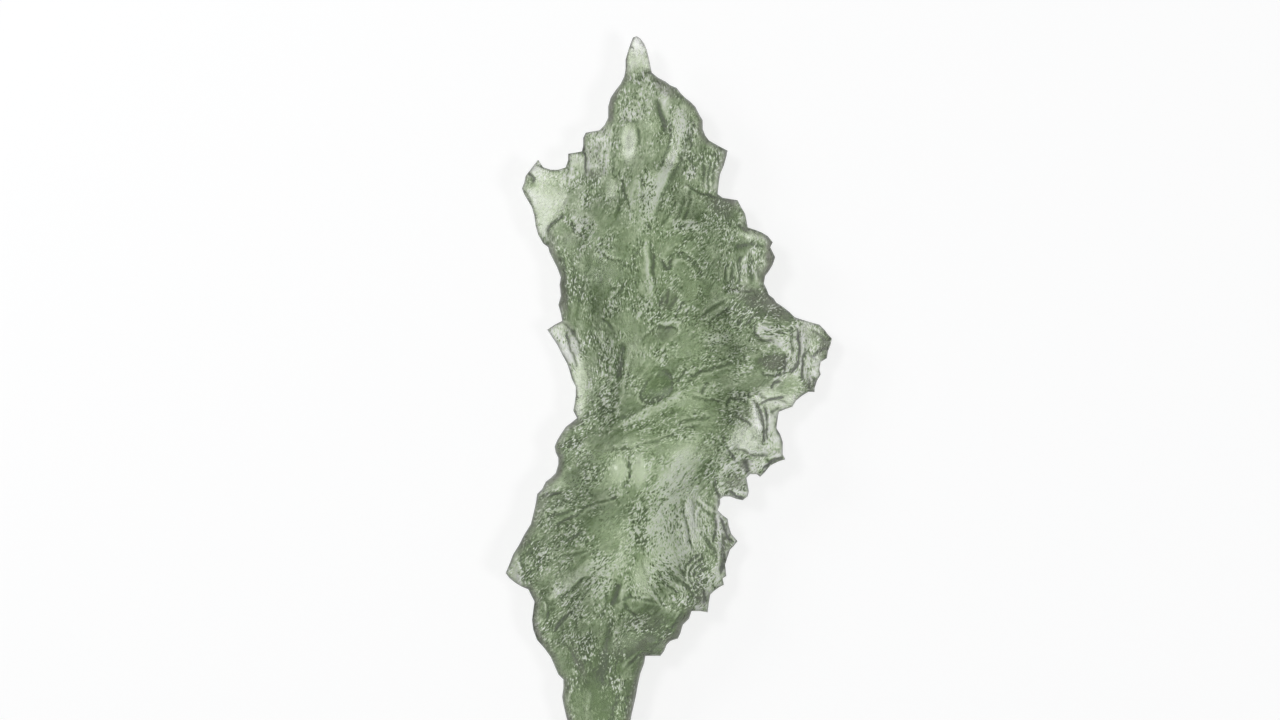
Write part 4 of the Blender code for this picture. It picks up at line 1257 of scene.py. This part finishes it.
def flow_ripples(objects, even, slant):
    """Short ripples along the flow, about -0.4 to 0.4. Four noises, each stretched along its own
    direction, are added, each as far as the flow runs its way. The four shares' squares add up
    to 1 at every angle, so the ripples are equally strong everywhere."""
    ripple = 0.0
    for quarter, share in enumerate((even, slant, -1.0 * even, -1.0 * slant)):
        turned = objects.node("ShaderNodeMapping", {"vector_type": "TEXTURE"}, Vector=objects,
                              Rotation=(0.0, 0.0, quarter * math.pi / 4), Scale=RIPPLE_SIZE)
        noise = objects.node("ShaderNodeTexNoise", None, Vector=Wire(objects.tree,
                             turned.outputs[0]), Scale=1.0, Detail=1.0, Roughness=0.5)
        ripple = ripple + share.clamped() * (Wire(objects.tree, noise.outputs[0]) - 0.5)
    return ripple


def green_glass():
    """Clear glass with its green in the volume, and an etched skin whose tint carries painted light
    and shade.
    """
    material = bpy.data.materials.new("moldavite_glass")
    material.use_nodes = True
    tree = material.node_tree
    tree.nodes.clear()
    start = Wire(tree, None)
    output = start.node("ShaderNodeOutputMaterial")
    objects = Wire(tree, start.node("ShaderNodeTexCoord").outputs["Object"])
    light, dark, brown, smooth, rough, even, slant = (
        Wire(tree, start.node("ShaderNodeAttribute", {"attribute_name": name}).outputs["Fac"])
        for name in ("light", "dark", "brown", "smooth", "rough", "flow_even", "flow_slant"))
    bend = Wire(tree, start.node("ShaderNodeTexNoise", Vector=objects, Scale=BEND_SCALE,
                                 Detail=0.0).outputs["Color"])
    bend = start.vector("MULTIPLY", start.vector("SUBTRACT", bend, (0.5, 0.5, 0.5)),
                        (BEND_REACH, BEND_REACH, BEND_REACH))
    ripple = flow_ripples(start.vector("ADD", objects, bend), even, slant)
    patches = Wire(tree, start.node("ShaderNodeTexNoise", Vector=objects, Scale=PATCH_SCALE,
                                    Detail=2.0).outputs[0])
    busy = ((patches - BUSY_ABOVE) * 5.0).clamped()
    painted_sparkle = ((ripple - SPARK_ABOVE) * SPARK_GAIN).clamped()
    painted_speck_shade = ((ripple - HOLLOW_BELOW) * -SPARK_GAIN).clamped()
    pit_cells = start.node("ShaderNodeTexVoronoi", {"feature": "F1"}, Vector=objects,
                           Scale=PIT_SCALE)
    pits = Wire(tree, pit_cells.outputs["Distance"])
    tilt = start.vector("SUBTRACT", Wire(tree, pit_cells.outputs["Color"]), (0.5, 0.5, 0.5))
    offset = start.vector("SUBTRACT", objects, Wire(tree, pit_cells.outputs["Position"]))
    facet = start.vector("DOT_PRODUCT", tilt, offset) * PIT_SCALE
    etched = 1.0 - 0.92 * smooth
    # Painted light and shade in the tint: raised ripples lighter, pit middles darker, painted sparkles
    # on the highest ripples and painted dark specks in the lowest, strongest in busy and rough places
    painted_speckle_light = (ripple * (0.40 + 1.2 * busy + 1.3 * rough) + painted_sparkle * (0.75 * busy + 1.80 * rough)
               - painted_speck_shade * (0.22 * busy + 0.75 * rough) + (pits - MIDDLE_PIT) * (0.10 + 0.4 * rough))
    tint = (light + painted_speckle_light * etched).ramp(SKIN_TONES)
    tint = start.mix(tint, BROWN_AND_RIM_SHADE_TINT, brown.clamped())
    # Painted shade of furrows and rim mixed into the tint
    tint = start.mix(tint, PAINTED_SHADE_TINT, dark.clamped())
    roughness = (SKIN_ROUGHNESS + 0.1 * ripple - 0.06 * smooth).clamped()
    height = (ripple + pits * 0.2 + facet * (0.2 + 1.2 * rough)) * etched
    bump = start.node("ShaderNodeBump", Strength=1.0, Distance=SKIN_DEPTH, Height=height)
    glass = start.node("ShaderNodeBsdfPrincipled", None, Roughness=roughness,
                       Normal=Wire(tree, bump.outputs["Normal"]))
    tree.links.new(tint.socket, glass.inputs["Base Color"])
    glass.inputs["Transmission Weight"].default_value = 1.0
    glass.inputs["IOR"].default_value = GLASS_IOR
    absorb = start.node("ShaderNodeVolumeAbsorption", Color=ABSORB_COLOUR,
                        Density=ABSORB_DENSITY)
    tree.links.new(glass.outputs["BSDF"], output.inputs["Surface"])
    tree.links.new(absorb.outputs["Volume"], output.inputs["Volume"])
    return material


stone_mesh.materials.append(green_glass())
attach(stone, "root")
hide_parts("moldavite")

# %% [markdown]
# Floor and light
#
# The stone lies on a pale, evenly lit plate, which is what makes its colour and its furrows
# readable. Two wide soft lamps give the satin skin a sheen, and two small ones make the glints.

# %% The pale floor
FLOOR_HALF = 0.6
FLOOR_DROP = 0.00012
PLATE_INPUTS = {"Base Color": (0.30, 0.30, 0.30, 1.0), "Roughness": 0.6,
                "Emission Color": (1.0, 1.0, 1.0, 1.0), "Emission Strength": 0.745}
floor_mesh = bpy.data.meshes.new("pale_plate")
floor_mesh.from_pydata([(x, y, -FLOOR_DROP) for x, y in
                        ((-FLOOR_HALF, -FLOOR_HALF), (FLOOR_HALF, -FLOOR_HALF),
                         (FLOOR_HALF, FLOOR_HALF), (-FLOOR_HALF, FLOOR_HALF))],
                       [], [(0, 1, 2, 3)])
floor = bpy.data.objects.new("pale_plate", floor_mesh)
bpy.context.scene.collection.objects.link(floor)
plate = bpy.data.materials.new("pale_plate")
plate.use_nodes = True
for name, value in PLATE_INPUTS.items():
    plate.node_tree.nodes["Principled BSDF"].inputs[name].default_value = value
floor_mesh.materials.append(plate)
floor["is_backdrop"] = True

# %% Soft lamps and the room
# Name, place in metres, size in metres and power in watts
LAMPS = [
    ("soft_above", (-0.10, 0.14, 0.45), 0.28, 0.22),
    ("key_left", (-0.30, 0.16, 0.18), 0.12, 0.30),
    ("glint_left", (-0.18, 0.13, 0.42), 0.08, 0.42),
    ("glint_right", (0.20, -0.06, 0.40), 0.08, 0.36),
]
ROOM_COLOUR = (0.95, 0.97, 1.0, 1.0)
ROOM_GLOW = 0.22
for name, place, size, power in LAMPS:
    lamp_data = bpy.data.lights.new(name, "AREA")
    lamp_data.size = size
    lamp_data.energy = power
    lamp = bpy.data.objects.new(name, lamp_data)
    lamp.location = place
    lamp.rotation_euler = (-Vector(place)).to_track_quat("-Z", "Y").to_euler()
    bpy.context.scene.collection.objects.link(lamp)
world = bpy.data.worlds.new("room")
world.use_nodes = True
world.node_tree.nodes["Background"].inputs["Color"].default_value = ROOM_COLOUR
world.node_tree.nodes["Background"].inputs["Strength"].default_value = ROOM_GLOW
bpy.context.scene.world = world
bpy.context.scene.view_settings.view_transform = "Standard"
print("lamps:", len(LAMPS))
